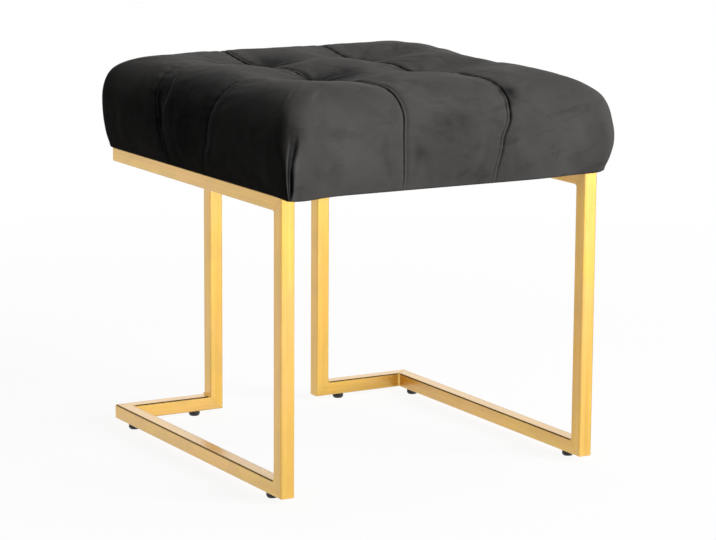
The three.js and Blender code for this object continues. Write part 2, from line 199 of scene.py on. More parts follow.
def clear_selection(kind: str) -> None:
    """Leaves edit mode with nothing selected, ready to select edges or faces in code."""
    bpy.ops.mesh.select_mode(type=kind)
    bpy.ops.mesh.select_all(action="DESELECT")
    bpy.ops.object.mode_set(mode="OBJECT")


def copied(piece: Piece, name: str) -> Piece:
    """Copies a piece with a mesh of its own.

    Args:
        piece: what is copied.
        name: the copy's name.

    Returns:
        The copy.
    """
    copy = piece.copy()
    copy.data = piece.data.copy()
    copy.name = copy.data.name = name
    bpy.context.scene.collection.objects.link(copy)
    return copy


def dress(piece: Piece, material: Material) -> None:
    """Gives a piece one material all over."""
    piece.data.materials.clear()
    piece.data.materials.append(material)


class Graph:
    """A node tree that is being wired."""

    def __init__(self, tree: NodeTree) -> None:
        """Keeps the tree to add nodes to."""
        self.tree = tree

    def add(self, kind: str, **settings: object) -> Node:
        """Adds a node.

        Args:
            kind: the node's type without the ShaderNode prefix.
            settings: attributes that are set on it.

        Returns:
            The new node.
        """
        node = self.tree.nodes.new(f"ShaderNode{kind}")
        for name, value in settings.items():
            setattr(node, name, value)
        return node

    def feed(self, target: Socket, source: object) -> None:
        """Links a socket to another, or sets its value.

        Args:
            target: the input that is fed.
            source: an output socket, a number, a vector or a colour without its alpha.
        """
        if isinstance(source, Socket):
            self.tree.links.new(source, target)
        elif target.type == "RGBA":
            target.default_value = (*source, 1.0)
        else:
            target.default_value = source

    def math(self, operation: str, *values: object, clamp: bool = False) -> Socket:
        """Adds a Math node.

        Args:
            operation: what it does.
            values: what its inputs are fed, in order.
            clamp: whether the result is held between 0 and 1.

        Returns:
            Its output.
        """
        node = self.add("Math", operation=operation, use_clamp=clamp)
        for target, value in zip(node.inputs, values):
            self.feed(target, value)
        return node.outputs[0]

    def product(self, first: object, *others: object, clamp: bool = False) -> Socket:
        """Multiplies values.

        Args:
            first: the first value.
            others: what it is multiplied by, in order.
            clamp: whether the last product is held between 0 and 1.

        Returns:
            The product.
        """
        made = first
        for index, value in enumerate(others, start=1):
            made = self.math("MULTIPLY", made, value, clamp=clamp and index == len(others))
        return made

    def apart(self, first: object, second: object) -> Socket:
        """How far two values lie apart."""
        return self.math("ABSOLUTE", self.math("SUBTRACT", first, second))

    def split(self, source: Socket) -> bpy.types.bpy_prop_collection:
        """Splits a vector into its X, Y and Z outputs, by name."""
        node = self.add("SeparateXYZ")
        self.feed(node.inputs[0], source)
        return node.outputs

    def normal(self) -> Socket:
        """The surface's own normal."""
        return self.add("NewGeometry").outputs["Normal"]

    def scaled(self, source: Socket, scale: Place, turn: Place = ORIGIN) -> Socket:
        """Stretches and turns a coordinate.

        Args:
            source: the coordinate.
            scale: its factors along X, Y and Z.
            turn: its turns about X, Y and Z, in radians.

        Returns:
            The new coordinate.
        """
        node = self.add("Mapping")
        for name, value in (("Vector", source), ("Scale", scale), ("Rotation", turn)):
            self.feed(node.inputs[name], value)
        return node.outputs[0]

    def noise(
        self, place: Socket, scale: float, detail: float = 2.0, rough: float = 0.5,
        distortion: float = 0.0,
    ) -> Socket:
        """Adds a Noise Texture.

        Args:
            place: the coordinate that it reads.
            scale: how fine it is.
            detail: how many finer layers it has.
            rough: how strong they are.
            distortion: how much it is swirled.

        Returns:
            Its value.
        """
        node = self.add("TexNoise")
        for name, value in (("Vector", place), ("Scale", scale), ("Detail", detail),
                            ("Roughness", rough), ("Distortion", distortion)):
            self.feed(node.inputs[name], value)
        return node.outputs["Fac"]

    def between(
        self, share: Socket, low: object, high: object, from_low: float = 0.0,
        from_high: float = 1.0,
    ) -> Socket:
        """Maps a value from one range to another, held at the ends.

        Args:
            share: the value.
            low: what the first range's start becomes.
            high: what its end becomes.
            from_low: the first range's start.
            from_high: its end.

        Returns:
            The mapped value.
        """
        node = self.add("MapRange", clamp=True)
        for name, value in (("Value", share), ("From Min", from_low), ("From Max", from_high),
                            ("To Min", low), ("To Max", high)):
            self.feed(node.inputs[name], value)
        return node.outputs["Result"]

    def blend(self, share: Socket, first: object, second: object) -> Socket:
        """Mixes two colours or vectors.

        Args:
            share: how much of the second shows.
            first: the one that lies under it.
            second: the one on top.

        Returns:
            The mixture.
        """
        node = self.add("Mix", data_type="RGBA")
        factor, under, over = node.inputs["Factor"], node.inputs[6], node.inputs[7]
        for target, value in ((factor, share), (under, first), (over, second)):
            self.feed(target, value)
        return node.outputs[2]

    def layers(self, tone: object, *coats: tuple[Socket, Colour]) -> Socket:
        """Lays colours over a first one.

        Args:
            tone: the first colour.
            coats: the mask and the colour of each that is laid over it, in order.

        Returns:
            The colour that shows.
        """
        for mask, colour in coats:
            tone = self.blend(mask, tone, colour)
        return tone

    def group(self, tree: NodeTree, **values: object) -> bpy.types.bpy_prop_collection:
        """Places a node group.

        Args:
            tree: the group.
            values: what its inputs are fed, by their names in small letters.

        Returns:
            Its outputs, by name.
        """
        node = self.add("Group")
        node.node_tree = tree
        for name, value in values.items():
            self.feed(node.inputs[name.capitalize()], value)
        return node.outputs

    def seen(self) -> Socket:
        """A mask of the rays that show the studio: the camera's, and those in gloss or glass."""
        path = self.add("LightPath").outputs
        plain = self.math("MAXIMUM", path["Is Camera Ray"], path["Is Glossy Ray"])
        return self.math("MAXIMUM", plain, path["Is Transmission Ray"])


class EffectGroup(Graph):
    """A shader node group that reads a place, with named inputs and outputs, built once."""

    def __init__(self, name: str) -> None:
        """Starts a group whose first input is the place."""
        super().__init__(bpy.data.node_groups.new(name, "ShaderNodeTree"))
        self._start = self.tree.nodes.new("NodeGroupInput")
        self._end = self.tree.nodes.new("NodeGroupOutput")
        self.tree.interface.new_socket(name="Place", in_out="INPUT", socket_type="NodeSocketVector")
        self.place = self._start.outputs["Place"]

    def takes(self, name: str, default: float) -> Socket:
        """Adds a number as an input.

        Args:
            name: its name.
            default: its value where nothing is linked.

        Returns:
            The socket that brings it into the group.
        """
        socket = self.tree.interface.new_socket(
            name=name, in_out="INPUT", socket_type="NodeSocketFloat"
        )
        socket.default_value = default
        return self._start.outputs[name]

    def gives(self, name: str, source: Socket, kind: str = "Float") -> None:
        """Adds an output.

        Args:
            name: its name.
            source: the socket that feeds it.
            kind: Float or Vector.
        """
        self.tree.interface.new_socket(
            name=name, in_out="OUTPUT", socket_type=f"NodeSocket{kind}"
        )
        self.feed(self._end.inputs[name], source)


def grain_group() -> NodeTree:
    """Fine brushing along one axis: a tone, a roughness and a height.

    Returns:
        The group, which reads a place already turned so that the grain runs along X.
    """
    g = EffectGroup("brushed_grain")
    strength = g.takes("Strength", 1.0)
    low = g.takes("Smoothest", 0.2)
    high = g.takes("Roughest", 0.4)
    hairlines = g.noise(g.scaled(g.place, (30.0, 2600.0, 2600.0)), 1.0, 3.0, 0.6)
    strokes = g.noise(g.scaled(g.place, (9.0, 420.0, 420.0)), 1.0, 2.0, 0.5)
    both = g.math("ADD", g.product(hairlines, 0.6), g.product(strokes, 0.4))
    g.gives("Tone", g.between(strokes, 0.0, 1.0, *NOISE_BAND))
    g.gives("Roughness", g.between(both, low, high, *NOISE_BAND))
    g.gives("Height", g.product(both, strength))
    return g.tree


def wear_group() -> NodeTree:
    """Where a rounded edge is rubbed, from the bevelled normal, and which edges look up.

    Returns:
        The group: masks of upper edges and of what looks up, one of rubbed edges broken up
        by noise, and the bevelled normal.
    """
    g = EffectGroup("edge_wear")
    reach = g.takes("Reach", 0.001)
    amount = g.takes("Amount", 1.0)
    bevel = g.add("Bevel", samples=4)
    g.feed(bevel.inputs["Radius"], reach)
    eased, own = bevel.outputs["Normal"], g.normal()
    dot = g.add("VectorMath", operation="DOT_PRODUCT")
    g.feed(dot.inputs[0], eased)
    g.feed(dot.inputs[1], own)
    alike = dot.outputs["Value"]
    edge = g.between(alike, 1.0, 0.0, 0.86, 0.995)
    up, own_up = g.split(eased)["Z"], g.split(own)["Z"]
    line = g.product(g.between(alike, 1.0, 0.0, 0.975, 0.9992), g.between(up, 0.0, 1.0, 0.05, 0.2))
    fillet = g.product(
        g.between(own_up, 0.0, 1.0, 0.05, 0.2), g.between(own_up, 1.0, 0.0, 0.93, 0.99)
    )
    patches = g.between(g.noise(g.place, 90.0, 3.0, 0.6), 0.0, 1.0, 0.42, 0.62)
    # Upper edge: where the gold paints a dark reflection and drops its lacquer
    g.gives("Upper edge", g.math("MAXIMUM", line, fillet))
    g.gives("Upward", g.between(up, 0.0, 1.0, 0.002, 0.03))
    g.gives("Mask", g.product(edge, patches, amount, clamp=True))
    g.gives("Normal", eased, "Vector")
    return g.tree


def mitre_group() -> NodeTree:
    """Where two tubes are mitred, welded and ground flush: a mask that keeps their joint unseen.

    Returns:
        The group, whose mask is 1 on the mitre planes of both side frames.
    """
    g = EffectGroup("flush_mitre")
    at = g.split(g.place)
    across, along = g.math("ABSOLUTE", at["X"]), at["Y"]
    rise = g.math("SUBTRACT", MITRE_RISE, g.apart(at["Z"], MITRE_MIDDLE))
    front = g.apart(g.math("ADD", along, MITRE_BACK), rise)
    corner = g.apart(
        g.math("SUBTRACT", MITRE_BACK, along), g.math("SUBTRACT", MITRE_SIDE, across)
    )
    inner = g.apart(g.math("SUBTRACT", across, MITRE_INNER), rise)
    inner = g.math("ADD", inner, g.math("GREATER_THAN", across, 2.0 * MITRE_INNER))
    nearest = g.math("MINIMUM", g.math("MINIMUM", front, corner), inner)
    g.gives("Mask", g.between(nearest, 1.0, 0.0, 0.0024, 0.0034))
    return g.tree


def dust_group() -> NodeTree:
    """A thin settled dust.

    Returns:
        The group, whose mask grows on faces that look up.
    """
    g = EffectGroup("settled_dust")
    amount = g.takes("Amount", 0.2)
    upward = g.between(g.split(g.normal())["Z"], 0.15, 1.0, 0.2, 1.0)
    specks = g.between(g.noise(g.place, 260.0, 4.0, 0.7), 0.2, 1.0, 0.4, 0.7)
    g.gives("Mask", g.product(upward, specks, amount, clamp=True))
    return g.tree


def nap_group() -> NodeTree:
    """The brushed nap of a short pile.

    Returns:
        The group: masks of its patches, of the marks a hand leaves and of the pile itself.
    """
    g = EffectGroup("velvet_nap")
    drift = g.noise(g.place, 6.0, 1.0).node.outputs["Color"]
    shift = g.add("VectorMath", operation="MULTIPLY_ADD")
    for target, value in zip(shift.inputs, (drift, (0.07, 0.07, 0.07), g.place)):
        g.feed(target, value)
    drifted = shift.outputs[0]
    clouds = g.noise(drifted, 11.0, 3.0, 0.55, 0.3)
    smears = g.noise(g.scaled(drifted, (26.0, 26.0, 60.0), (0.3, 0.2, 0.5)), 1.0, 3.0, 0.6, 0.6)
    g.gives("Patches", g.between(clouds, 0.0, 1.0, 0.34, 0.68))
    g.gives("Marks", g.between(smears, 1.0, 0.0, 0.33, 0.47))
    g.gives("Pile", g.noise(g.place, 1900.0, 2.0, 0.6))
    return g.tree


def weave_group() -> NodeTree:
    """A plain mesh of threads or dots in the XY plane.

    Returns:
        The group: a height and a tone.
    """
    g = EffectGroup("cloth_mesh")
    pitch = g.takes("Pitch", 0.001)
    at = g.split(g.place)
    waves = [
        g.math("SINE", g.product(g.math("DIVIDE", at[axis], pitch), 2.0 * math.pi))
        for axis in ("X", "Y")
    ]
    g.gives("Height", g.between(g.product(*waves), 0.0, 1.0, -1.0, 1.0))
    g.gives("Tone", g.noise(g.place, 400.0, 3.0, 0.6))
    return g.tree


@dataclass(frozen=True)
class Effects:
    """The shared node groups, each built once."""

    grain: NodeTree = field(default_factory=grain_group)
    wear: NodeTree = field(default_factory=wear_group)
    mitre: NodeTree = field(default_factory=mitre_group)
    dust: NodeTree = field(default_factory=dust_group)
    nap: NodeTree = field(default_factory=nap_group)
    weave: NodeTree = field(default_factory=weave_group)


class MaterialGraph(Graph):
    """The graph of a new material, with its Principled BSDF and the object's own place."""

    def __init__(self, name: str) -> None:
        """Starts an empty material."""
        self.material = bpy.data.materials.new(name)
        self.material.use_nodes = True
        super().__init__(self.material.node_tree)
        self.surface = self.tree.nodes["Principled BSDF"]
        self.place = self.add("TexCoord").outputs["Object"]

    def finish(self, sockets: dict[str, object]) -> Material:
        """Feeds the surface's sockets.

        Args:
            sockets: a socket or a value for each, by name.

        Returns:
            The material.
        """
        for name, source in sockets.items():
            self.feed(self.surface.inputs[name], source)
        return self.material

    def bump(
        self, height: Socket, strength: float, distance: float, normal: Socket | None = None
    ) -> Socket:
        """Adds a Bump node.

        Args:
            height: what it embosses.
            strength: how strong it is, up to 1.
            distance: how high a height of 1 stands, in metres.
            normal: the normal that it works on, where that isn't the surface's own.

        Returns:
            The bumped normal.
        """
        node = self.add("Bump")
        for name, value in (("Strength", strength), ("Distance", distance), ("Height", height)):
            self.feed(node.inputs[name], value)
        if normal is not None:
            self.feed(node.inputs["Normal"], normal)
        return node.outputs["Normal"]


@dataclass(frozen=True)
class Finish:
    """What every finish has: the name of its material."""

    name: str


@dataclass(frozen=True)
class SatinGold(Finish):
    """Brass-coloured plating on steel, finely brushed along the tube and lacquered, with a painted
    dark reflection along its upper edges.
    """

    grain: Grain
    deep: Colour = (0.55, 0.33, 0.08)
    warm: Colour = (0.685, 0.385, 0.055)
    pale: Colour = (0.75, 0.475, 0.09)
    rosy: Colour = (0.76, 0.42, 0.14)
    rubbed: Colour = (0.86, 0.66, 0.28)
    dusted: Colour = (0.70, 0.66, 0.58)
    # painted dark reflection on the upper edges, standing for the dark that their rounded corners
    # mirror
    painted_edge_shade: Colour = (0.12, 0.07, 0.02)
    smoothest: float = 0.35
    roughest: float = 0.44
    spread: float = 0.65
    relief: float = 0.00002
    edge_reach: float = 2.2 * MM
    wear: float = 0.3
    dust: float = 0.06
    lacquer: float = 0.8
    lacquer_roughness: float = 0.2
    TURNS: ClassVar[dict[Grain, Place]] = {
        Grain.X: ORIGIN,
        Grain.Y: (0.0, 0.0, math.pi / 2),
        Grain.Z: (0.0, math.pi / 2, 0.0),
    }

    def material(self, effects: Effects) -> Material:
        """Builds the material.

        Args:
            effects: the shared node groups.

        Returns:
            The material.
        """
        g = MaterialGraph(self.name)
        turned = g.scaled(g.place, (1.0, 1.0, 1.0), self.TURNS[self.grain])
        brushed = g.group(
            effects.grain, place=turned, strength=1.0, smoothest=self.smoothest,
            roughest=self.roughest,
        )
        worn = g.group(effects.wear, place=g.place, reach=self.edge_reach, amount=self.wear)
        flush = g.group(effects.mitre, place=g.place)["Mask"]
        dusty = g.group(effects.dust, place=g.place, amount=self.dust)["Mask"]
        edge = worn["Upper edge"]
        streaks = g.noise(g.scaled(turned, (3.0, 260.0, 260.0)), 1.0, 1.0, 0.5, 0.1)
        clouds = g.noise(g.scaled(turned, (11.0, 30.0, 30.0)), 1.0, 2.0, 0.5)
        patches = g.noise(g.scaled(turned, (20.0, 50.0, 50.0)), 1.0, 1.0, 0.5)
        tone = g.layers(
            g.blend(g.between(streaks, 0.15, 0.85, 0.36, 0.64), self.warm, self.pale),
            (g.between(clouds, 0.0, 0.4, 0.48, 0.62), self.rosy),
            (g.between(patches, 0.3, 0.0, 0.36, 0.54), self.deep),
            (g.product(brushed["Tone"], 0.08), self.rubbed),
            (worn["Mask"], self.rubbed),
            (dusty, self.dusted),
            # painted dark reflection along the upper edges, kept off the ground-flush mitres
            (g.product(edge, g.math("SUBTRACT", 0.95, flush, clamp=True)), self.painted_edge_shade),
        )
        glossy = g.product(g.add("LightPath").outputs["Is Glossy Ray"], self.spread)
        dull = g.math("MAXIMUM", glossy, g.product(edge, self.spread))
        plain = g.math("MAXIMUM", flush, worn["Upward"])
        normal = g.blend(plain, worn["Normal"], g.normal())
        return g.finish({
            "Base Color": tone,
            "Metallic": 1.0,
            "Roughness": g.math("MAXIMUM", brushed["Roughness"], dull),
            "Normal": g.bump(brushed["Height"], 0.08, self.relief, normal),
            "Coat Weight": g.between(edge, self.lacquer, 0.0),
            "Coat Roughness": self.lacquer_roughness,
        })


@dataclass(frozen=True)
class CharcoalVelvet(Finish):
    """Short pile velvet whose nap lies in patches, with painted shade in its folds, tufts and over
    its left side, and painted highlights beside its folds.
    """

    nap: Colour = (0.080, 0.0765, 0.0735)
    brushed: Colour = (0.104, 0.0995, 0.096)
    marked: Colour = (0.040, 0.039, 0.039)
    # painted shade and painted highlight, laid on through the cushion's painted shading attribute
    painted_shade: Colour = (0.012, 0.012, 0.013)
    painted_highlight: Colour = (0.150, 0.146, 0.142)
    sheen: Colour = (0.55, 0.54, 0.53)
    sheen_weight: float = 0.10
    pile_height: float = 0.3 * MM

    def material(self, effects: Effects) -> Material:
        """Builds the material, as SatinGold's does."""
        g = MaterialGraph(self.name)
        nap = g.group(effects.nap, place=g.place)
        lie = g.add("Attribute", attribute_name="lie").outputs["Fac"]
        breaks = g.between(g.noise(g.place, 55.0, 3.0, 0.6), 0.6, 1.3, 0.35, 0.65)
        broken = g.product(lie, breaks)
        tone = g.layers(
            g.blend(nap["Patches"], self.nap, self.brushed),
            (g.product(nap["Marks"], 0.35), self.marked),
            (g.product(nap["Pile"], 0.3), self.marked),
            # painted shade where the painted shading is below 0, painted highlight where it is
            # above 0
            (g.between(broken, 0.0, 0.85, 0.0, -1.0), self.painted_shade),
            (g.between(broken, 0.0, 0.8, 0.0, 0.8), self.painted_highlight),
        )
        return g.finish({
            "Base Color": tone,
            "Roughness": g.between(nap["Patches"], 0.95, 0.8),
            "Normal": g.bump(nap["Pile"], 0.25, self.pile_height),
            "Specular IOR Level": 0.02,
            "Sheen Weight": self.sheen_weight,
            "Sheen Roughness": 0.5,
            "Sheen Tint": self.sheen,
        })


@dataclass(frozen=True)
class BlackNylon(Finish):
    """Moulded nylon with a fine spark-eroded texture."""

    body: Colour = (0.014, 0.014, 0.015)
    scuffed: Colour = (0.05, 0.048, 0.046)
    edge_reach: float = 0.8 * MM
    relief: float = 0.06 * MM

    def material(self, effects: Effects) -> Material:
        """Builds the material, as SatinGold's does."""
        g = MaterialGraph(self.name)
        worn = g.group(effects.wear, place=g.place, reach=self.edge_reach, amount=0.8)
        grit = g.noise(g.place, 2600.0, 2.0, 0.6)
        return g.finish({
            "Base Color": g.blend(worn["Mask"], self.body, self.scuffed),
            "Roughness": g.between(grit, 0.42, 0.6, *NOISE_BAND),
            "Normal": g.bump(grit, 0.4, self.relief, worn["Normal"]),
        })


@dataclass(frozen=True)
class ZincSteel(Finish):
    """Zinc plated steel of studs, nuts, screws, inserts and staples."""

    bright: Colour = (0.60, 0.62, 0.64)
    dull: Colour = (0.40, 0.42, 0.44)
    rubbed: Colour = (0.72, 0.73, 0.74)
    edge_reach: float = 0.4 * MM

    def material(self, effects: Effects) -> Material:
        """Builds the material, as SatinGold's does."""
        g = MaterialGraph(self.name)
        worn = g.group(effects.wear, place=g.place, reach=self.edge_reach, amount=0.6)
        spangle = g.noise(g.place, 700.0, 3.0, 0.6)
        tone = g.blend(g.between(spangle, 0.0, 1.0, 0.35, 0.65), self.dull, self.bright)
        return g.finish({
            "Base Color": g.blend(worn["Mask"], tone, self.rubbed),
            "Metallic": 1.0,
            "Roughness": g.between(spangle, 0.28, 0.46, *NOISE_BAND),
            "Normal": worn["Normal"],
        })


@dataclass(frozen=True)
class BirchPly(Finish):
    """Rotary cut birch plywood, with its plies on the edge."""

    early: Colour = (0.66, 0.46, 0.25)
    late: Colour = (0.50, 0.31, 0.14)
    plies: float = 11.0
    thickness: float = 15 * MM
    pore_depth: float = 0.2 * MM

    def material(self, effects: Effects) -> Material:
        """Builds the material, as SatinGold's does."""
        g = MaterialGraph(self.name)
        figure = g.noise(g.scaled(g.place, (3.0, 26.0, 26.0)), 1.0, 4.0, 0.6, 1.2)
        pores = g.noise(g.scaled(g.place, (60.0, 900.0, 900.0)), 1.0, 2.0, 0.6)
        turns = g.product(g.split(g.place)["Z"], self.plies * math.pi / self.thickness)
        edge = g.between(g.math("ABSOLUTE", g.split(g.normal())["Z"]), 1.0, 0.0, 0.3, 0.7)
        dark_ply = g.product(edge, g.between(g.math("SINE", turns), 0.0, 0.8, -0.1, 0.3))
        tone = g.blend(g.between(figure, 0.0, 1.0, 0.35, 0.68), self.early, self.late)
        return g.finish({
            "Base Color": g.blend(dark_ply, tone, self.late),
            "Roughness": g.between(pores, 0.62, 0.82, *NOISE_BAND),
            "Normal": g.bump(pores, 0.3, self.pore_depth),
        })


@dataclass(frozen=True)
class SeatFoam(Finish):
    """Cut polyurethane foam with open cells."""

    skin: Colour = (0.82, 0.74, 0.47)
    aged: Colour = (0.74, 0.60, 0.30)
    dust: float = 0.15
    cell_depth: float = 0.5 * MM

    def material(self, effects: Effects) -> Material:
        """Builds the material, as SatinGold's does."""
        g = MaterialGraph(self.name)
        voronoi = g.add("TexVoronoi")
        g.feed(voronoi.inputs["Vector"], g.place)
        g.feed(voronoi.inputs["Scale"], 900.0)
        cells = voronoi.outputs["Distance"]
        dusty = g.group(effects.dust, place=g.place, amount=self.dust)["Mask"]
        stains = g.between(g.noise(g.place, 14.0, 2.0), 0.0, 0.8, 0.4, 0.7)
        return g.finish({
            "Base Color": g.layers(self.skin, (stains, self.aged), (dusty, self.aged)),
            "Roughness": g.between(cells, 0.9, 1.0),
            "Normal": g.bump(cells, 0.6, self.cell_depth),
        })


@dataclass(frozen=True)
class SpunLining(Finish):
    """Black spun-bonded cloth with its grid of bonding dots."""

    thread: Colour = (0.020, 0.020, 0.021)
    lint: Colour = (0.055, 0.055, 0.056)
    dot_pitch: float = 1.6 * MM
    dot_depth: float = 0.2 * MM

    def material(self, effects: Effects) -> Material:
        """Builds the material, as SatinGold's does."""
        g = MaterialGraph(self.name)
        mesh = g.group(effects.weave, place=g.place, pitch=self.dot_pitch)
        fluff = g.between(mesh["Tone"], 0.0, 0.8, 0.42, 0.7)
        return g.finish({
            "Base Color": g.blend(fluff, self.thread, self.lint),
            "Roughness": g.between(mesh["Height"], 0.95, 0.75),
            "Normal": g.bump(mesh["Height"], 0.5, self.dot_depth),
        })


@dataclass(frozen=True)
class WaxedTwine(Finish):
    """Twisted flax twine."""

    light: Colour = (0.52, 0.43, 0.29)
    dark: Colour = (0.33, 0.25, 0.15)
    lay: float = 3 * MM
    strand_depth: float = 0.3 * MM

    def material(self, effects: Effects) -> Material:
        """Builds the material, as SatinGold's does."""
        g = MaterialGraph(self.name)
        at = g.split(g.place)
        around = g.product(g.math("ADD", at["X"], at["Y"]), 900.0)
        twist = g.math("SINE", g.math("ADD", around, g.product(at["Z"], 2.0 * math.pi / self.lay)))
        fuzz = g.noise(g.place, 1200.0, 2.0, 0.6)
        return g.finish({
            "Base Color": g.blend(g.between(twist, 0.0, 1.0, -1.0, 1.0), self.dark, self.light),
            "Roughness": g.between(fuzz, 0.6, 0.85, *NOISE_BAND),
            "Normal": g.bump(twist, 0.6, self.strand_depth),
        })


@dataclass
class Fold:
    """A stitched fold that runs across the cushion through two tufts.

    Sizes in millimetres. Places along it are in the cushion's unrolled plan, from the
    middle. Its painted shading runs from -1, painted shade in the crease, to 1, a
    painted highlight on the ridge.
    """

    centre: float
    valley: Knots
    slit: Knots
    drift: Knots
    low_roll: Knots
    high_roll: Knots
    over: float
    lip: Knots = ((0.0, 4.2),)
    sharpness: Knots = ((0.0, 1.0),)
    pocket: Knots = ((0.0, 0.0),)
    # how strong the painted highlight on the ridges is
    painted_highlight_share: float = 0.6
    dip_share: float = 0.45
    notch_width: float = 1.2
    crease_share: float = 0.75
    crease_width: float = 1.1
    crease_widening: float = 0.07
    rib_most: float = 3.0
    rib_share: float = 0.5
    rib_spread: float = 0.7
    pocket_round: float = 0.7
    firm_slit: float = 2.6
    shade_width: float = 1.3
    lip_shade: float = 0.7
    lip_shade_width: float = 1.5
    pocket_shade: float = 0.2
    wide_lip: float = 7.0
    lit_past: float = 4.0
    lit_width: float = 2.0
    lean_share: float = 0.35
    lean_width: float = 2.4

    def shift(self, along: float) -> float:
        """How far the fold has wandered from its centre at a place along it."""
        return read_curve(self.drift, along)

    def beside(self, across: float, along: float) -> float:
        """How far a place in the plan lies from the fold's line, signed."""
        return across - self.centre - self.shift(along)

    def rib(self, lip: float) -> float:
        """How far from the slit the rib on a lip of some width stands."""
        return min(lip * 0.5, self.rib_most)

    def sink(self, across: float, along: float) -> float:
        """How deep the fold draws the velvet in.

        Args:
            across: the distance from the fold's line, signed.
            along: the place along it.

        Returns:
            The depth in millimetres.
        """
        roll = read_curve(self.high_roll if across > 0 else self.low_roll, along)
        distance = abs(across)
        share = max(0.0, 1.0 - distance / roll)
        cusp = 1.0 - math.sqrt(1.0 - share * share)
        dip = bell(distance, self.dip_share * roll)
        sharp = read_curve(self.sharpness, along)
        valley = read_curve(self.valley, along) * (sharp * cusp + (1.0 - sharp) * dip)
        slit = read_curve(self.slit, along)
        notch = slit * bell(distance, self.notch_width)
        beside = across * self.over
        lip = read_curve(self.lip, along)
        crease_width = self.crease_width + self.crease_widening * lip
        crease = self.crease_share * slit * bell(beside - lip, crease_width)
        rib = self.rib(lip)
        ridge = self.rib_share * slit * bell(beside - rib, rib * self.rib_spread)
        inside = math.sin(math.pi * min(1.0, max(0.0, beside / lip)))
        tuck = read_curve(self.pocket, along) * inside**self.pocket_round
        return valley + notch + crease - ridge + tuck

    def lie(self, across: float, along: float) -> float:
        """The painted shade in the fold and the painted highlights beside it.

        Args:
            across: the distance from the fold's line, signed.
            along: the place along it.

        Returns:
            The lie that the fold adds.
        """
        firm = min(1.0, read_curve(self.slit, along) / self.firm_slit)
        beside = across * self.over
        lip = read_curve(self.lip, along)
        inside = math.sin(math.pi * min(1.0, max(0.0, beside / lip)))
        # painted shade in the slit, under the lip's edge and in the pocket
        dark = bell(across, self.shade_width)
        dark += self.lip_shade * bell(beside - lip, self.lip_shade_width)
        dark += self.pocket_shade * read_curve(self.pocket, along) * math.sqrt(inside)
        # painted highlight on the rib, and past a wide lip
        pale = bell(beside - self.rib(lip), self.shade_width)
        if lip > self.wide_lip:
            pale += bell(beside - lip - self.lit_past, self.lit_width)
        return firm * (self.painted_highlight_share * pale - dark)

    def pinch(self, across: float, along: float) -> float:
        """How far the lip beside the slit leans over it, signed.

        Args:
            across: the distance from the fold's line, signed.
            along: the place along it.

        Returns:
            How far a place moves across the fold, in millimetres.
        """
        beside = across * self.over
        if beside <= 0:
            return 0.0
        lean = self.lean_share * read_curve(self.slit, along)
        near = beside / self.lean_width
        return -self.over * lean * near * math.exp(1.0 - near)


@dataclass
class ProfileRow:
    """One ring of the cushion's side, in millimetres.

    It says how far out the ring stands, its height, its outward way and its arc, the
    length down the side from the crown's edge.
    """

    offset: float
    height: float
    out_across: float
    out_up: float
    arc: float = 0.0


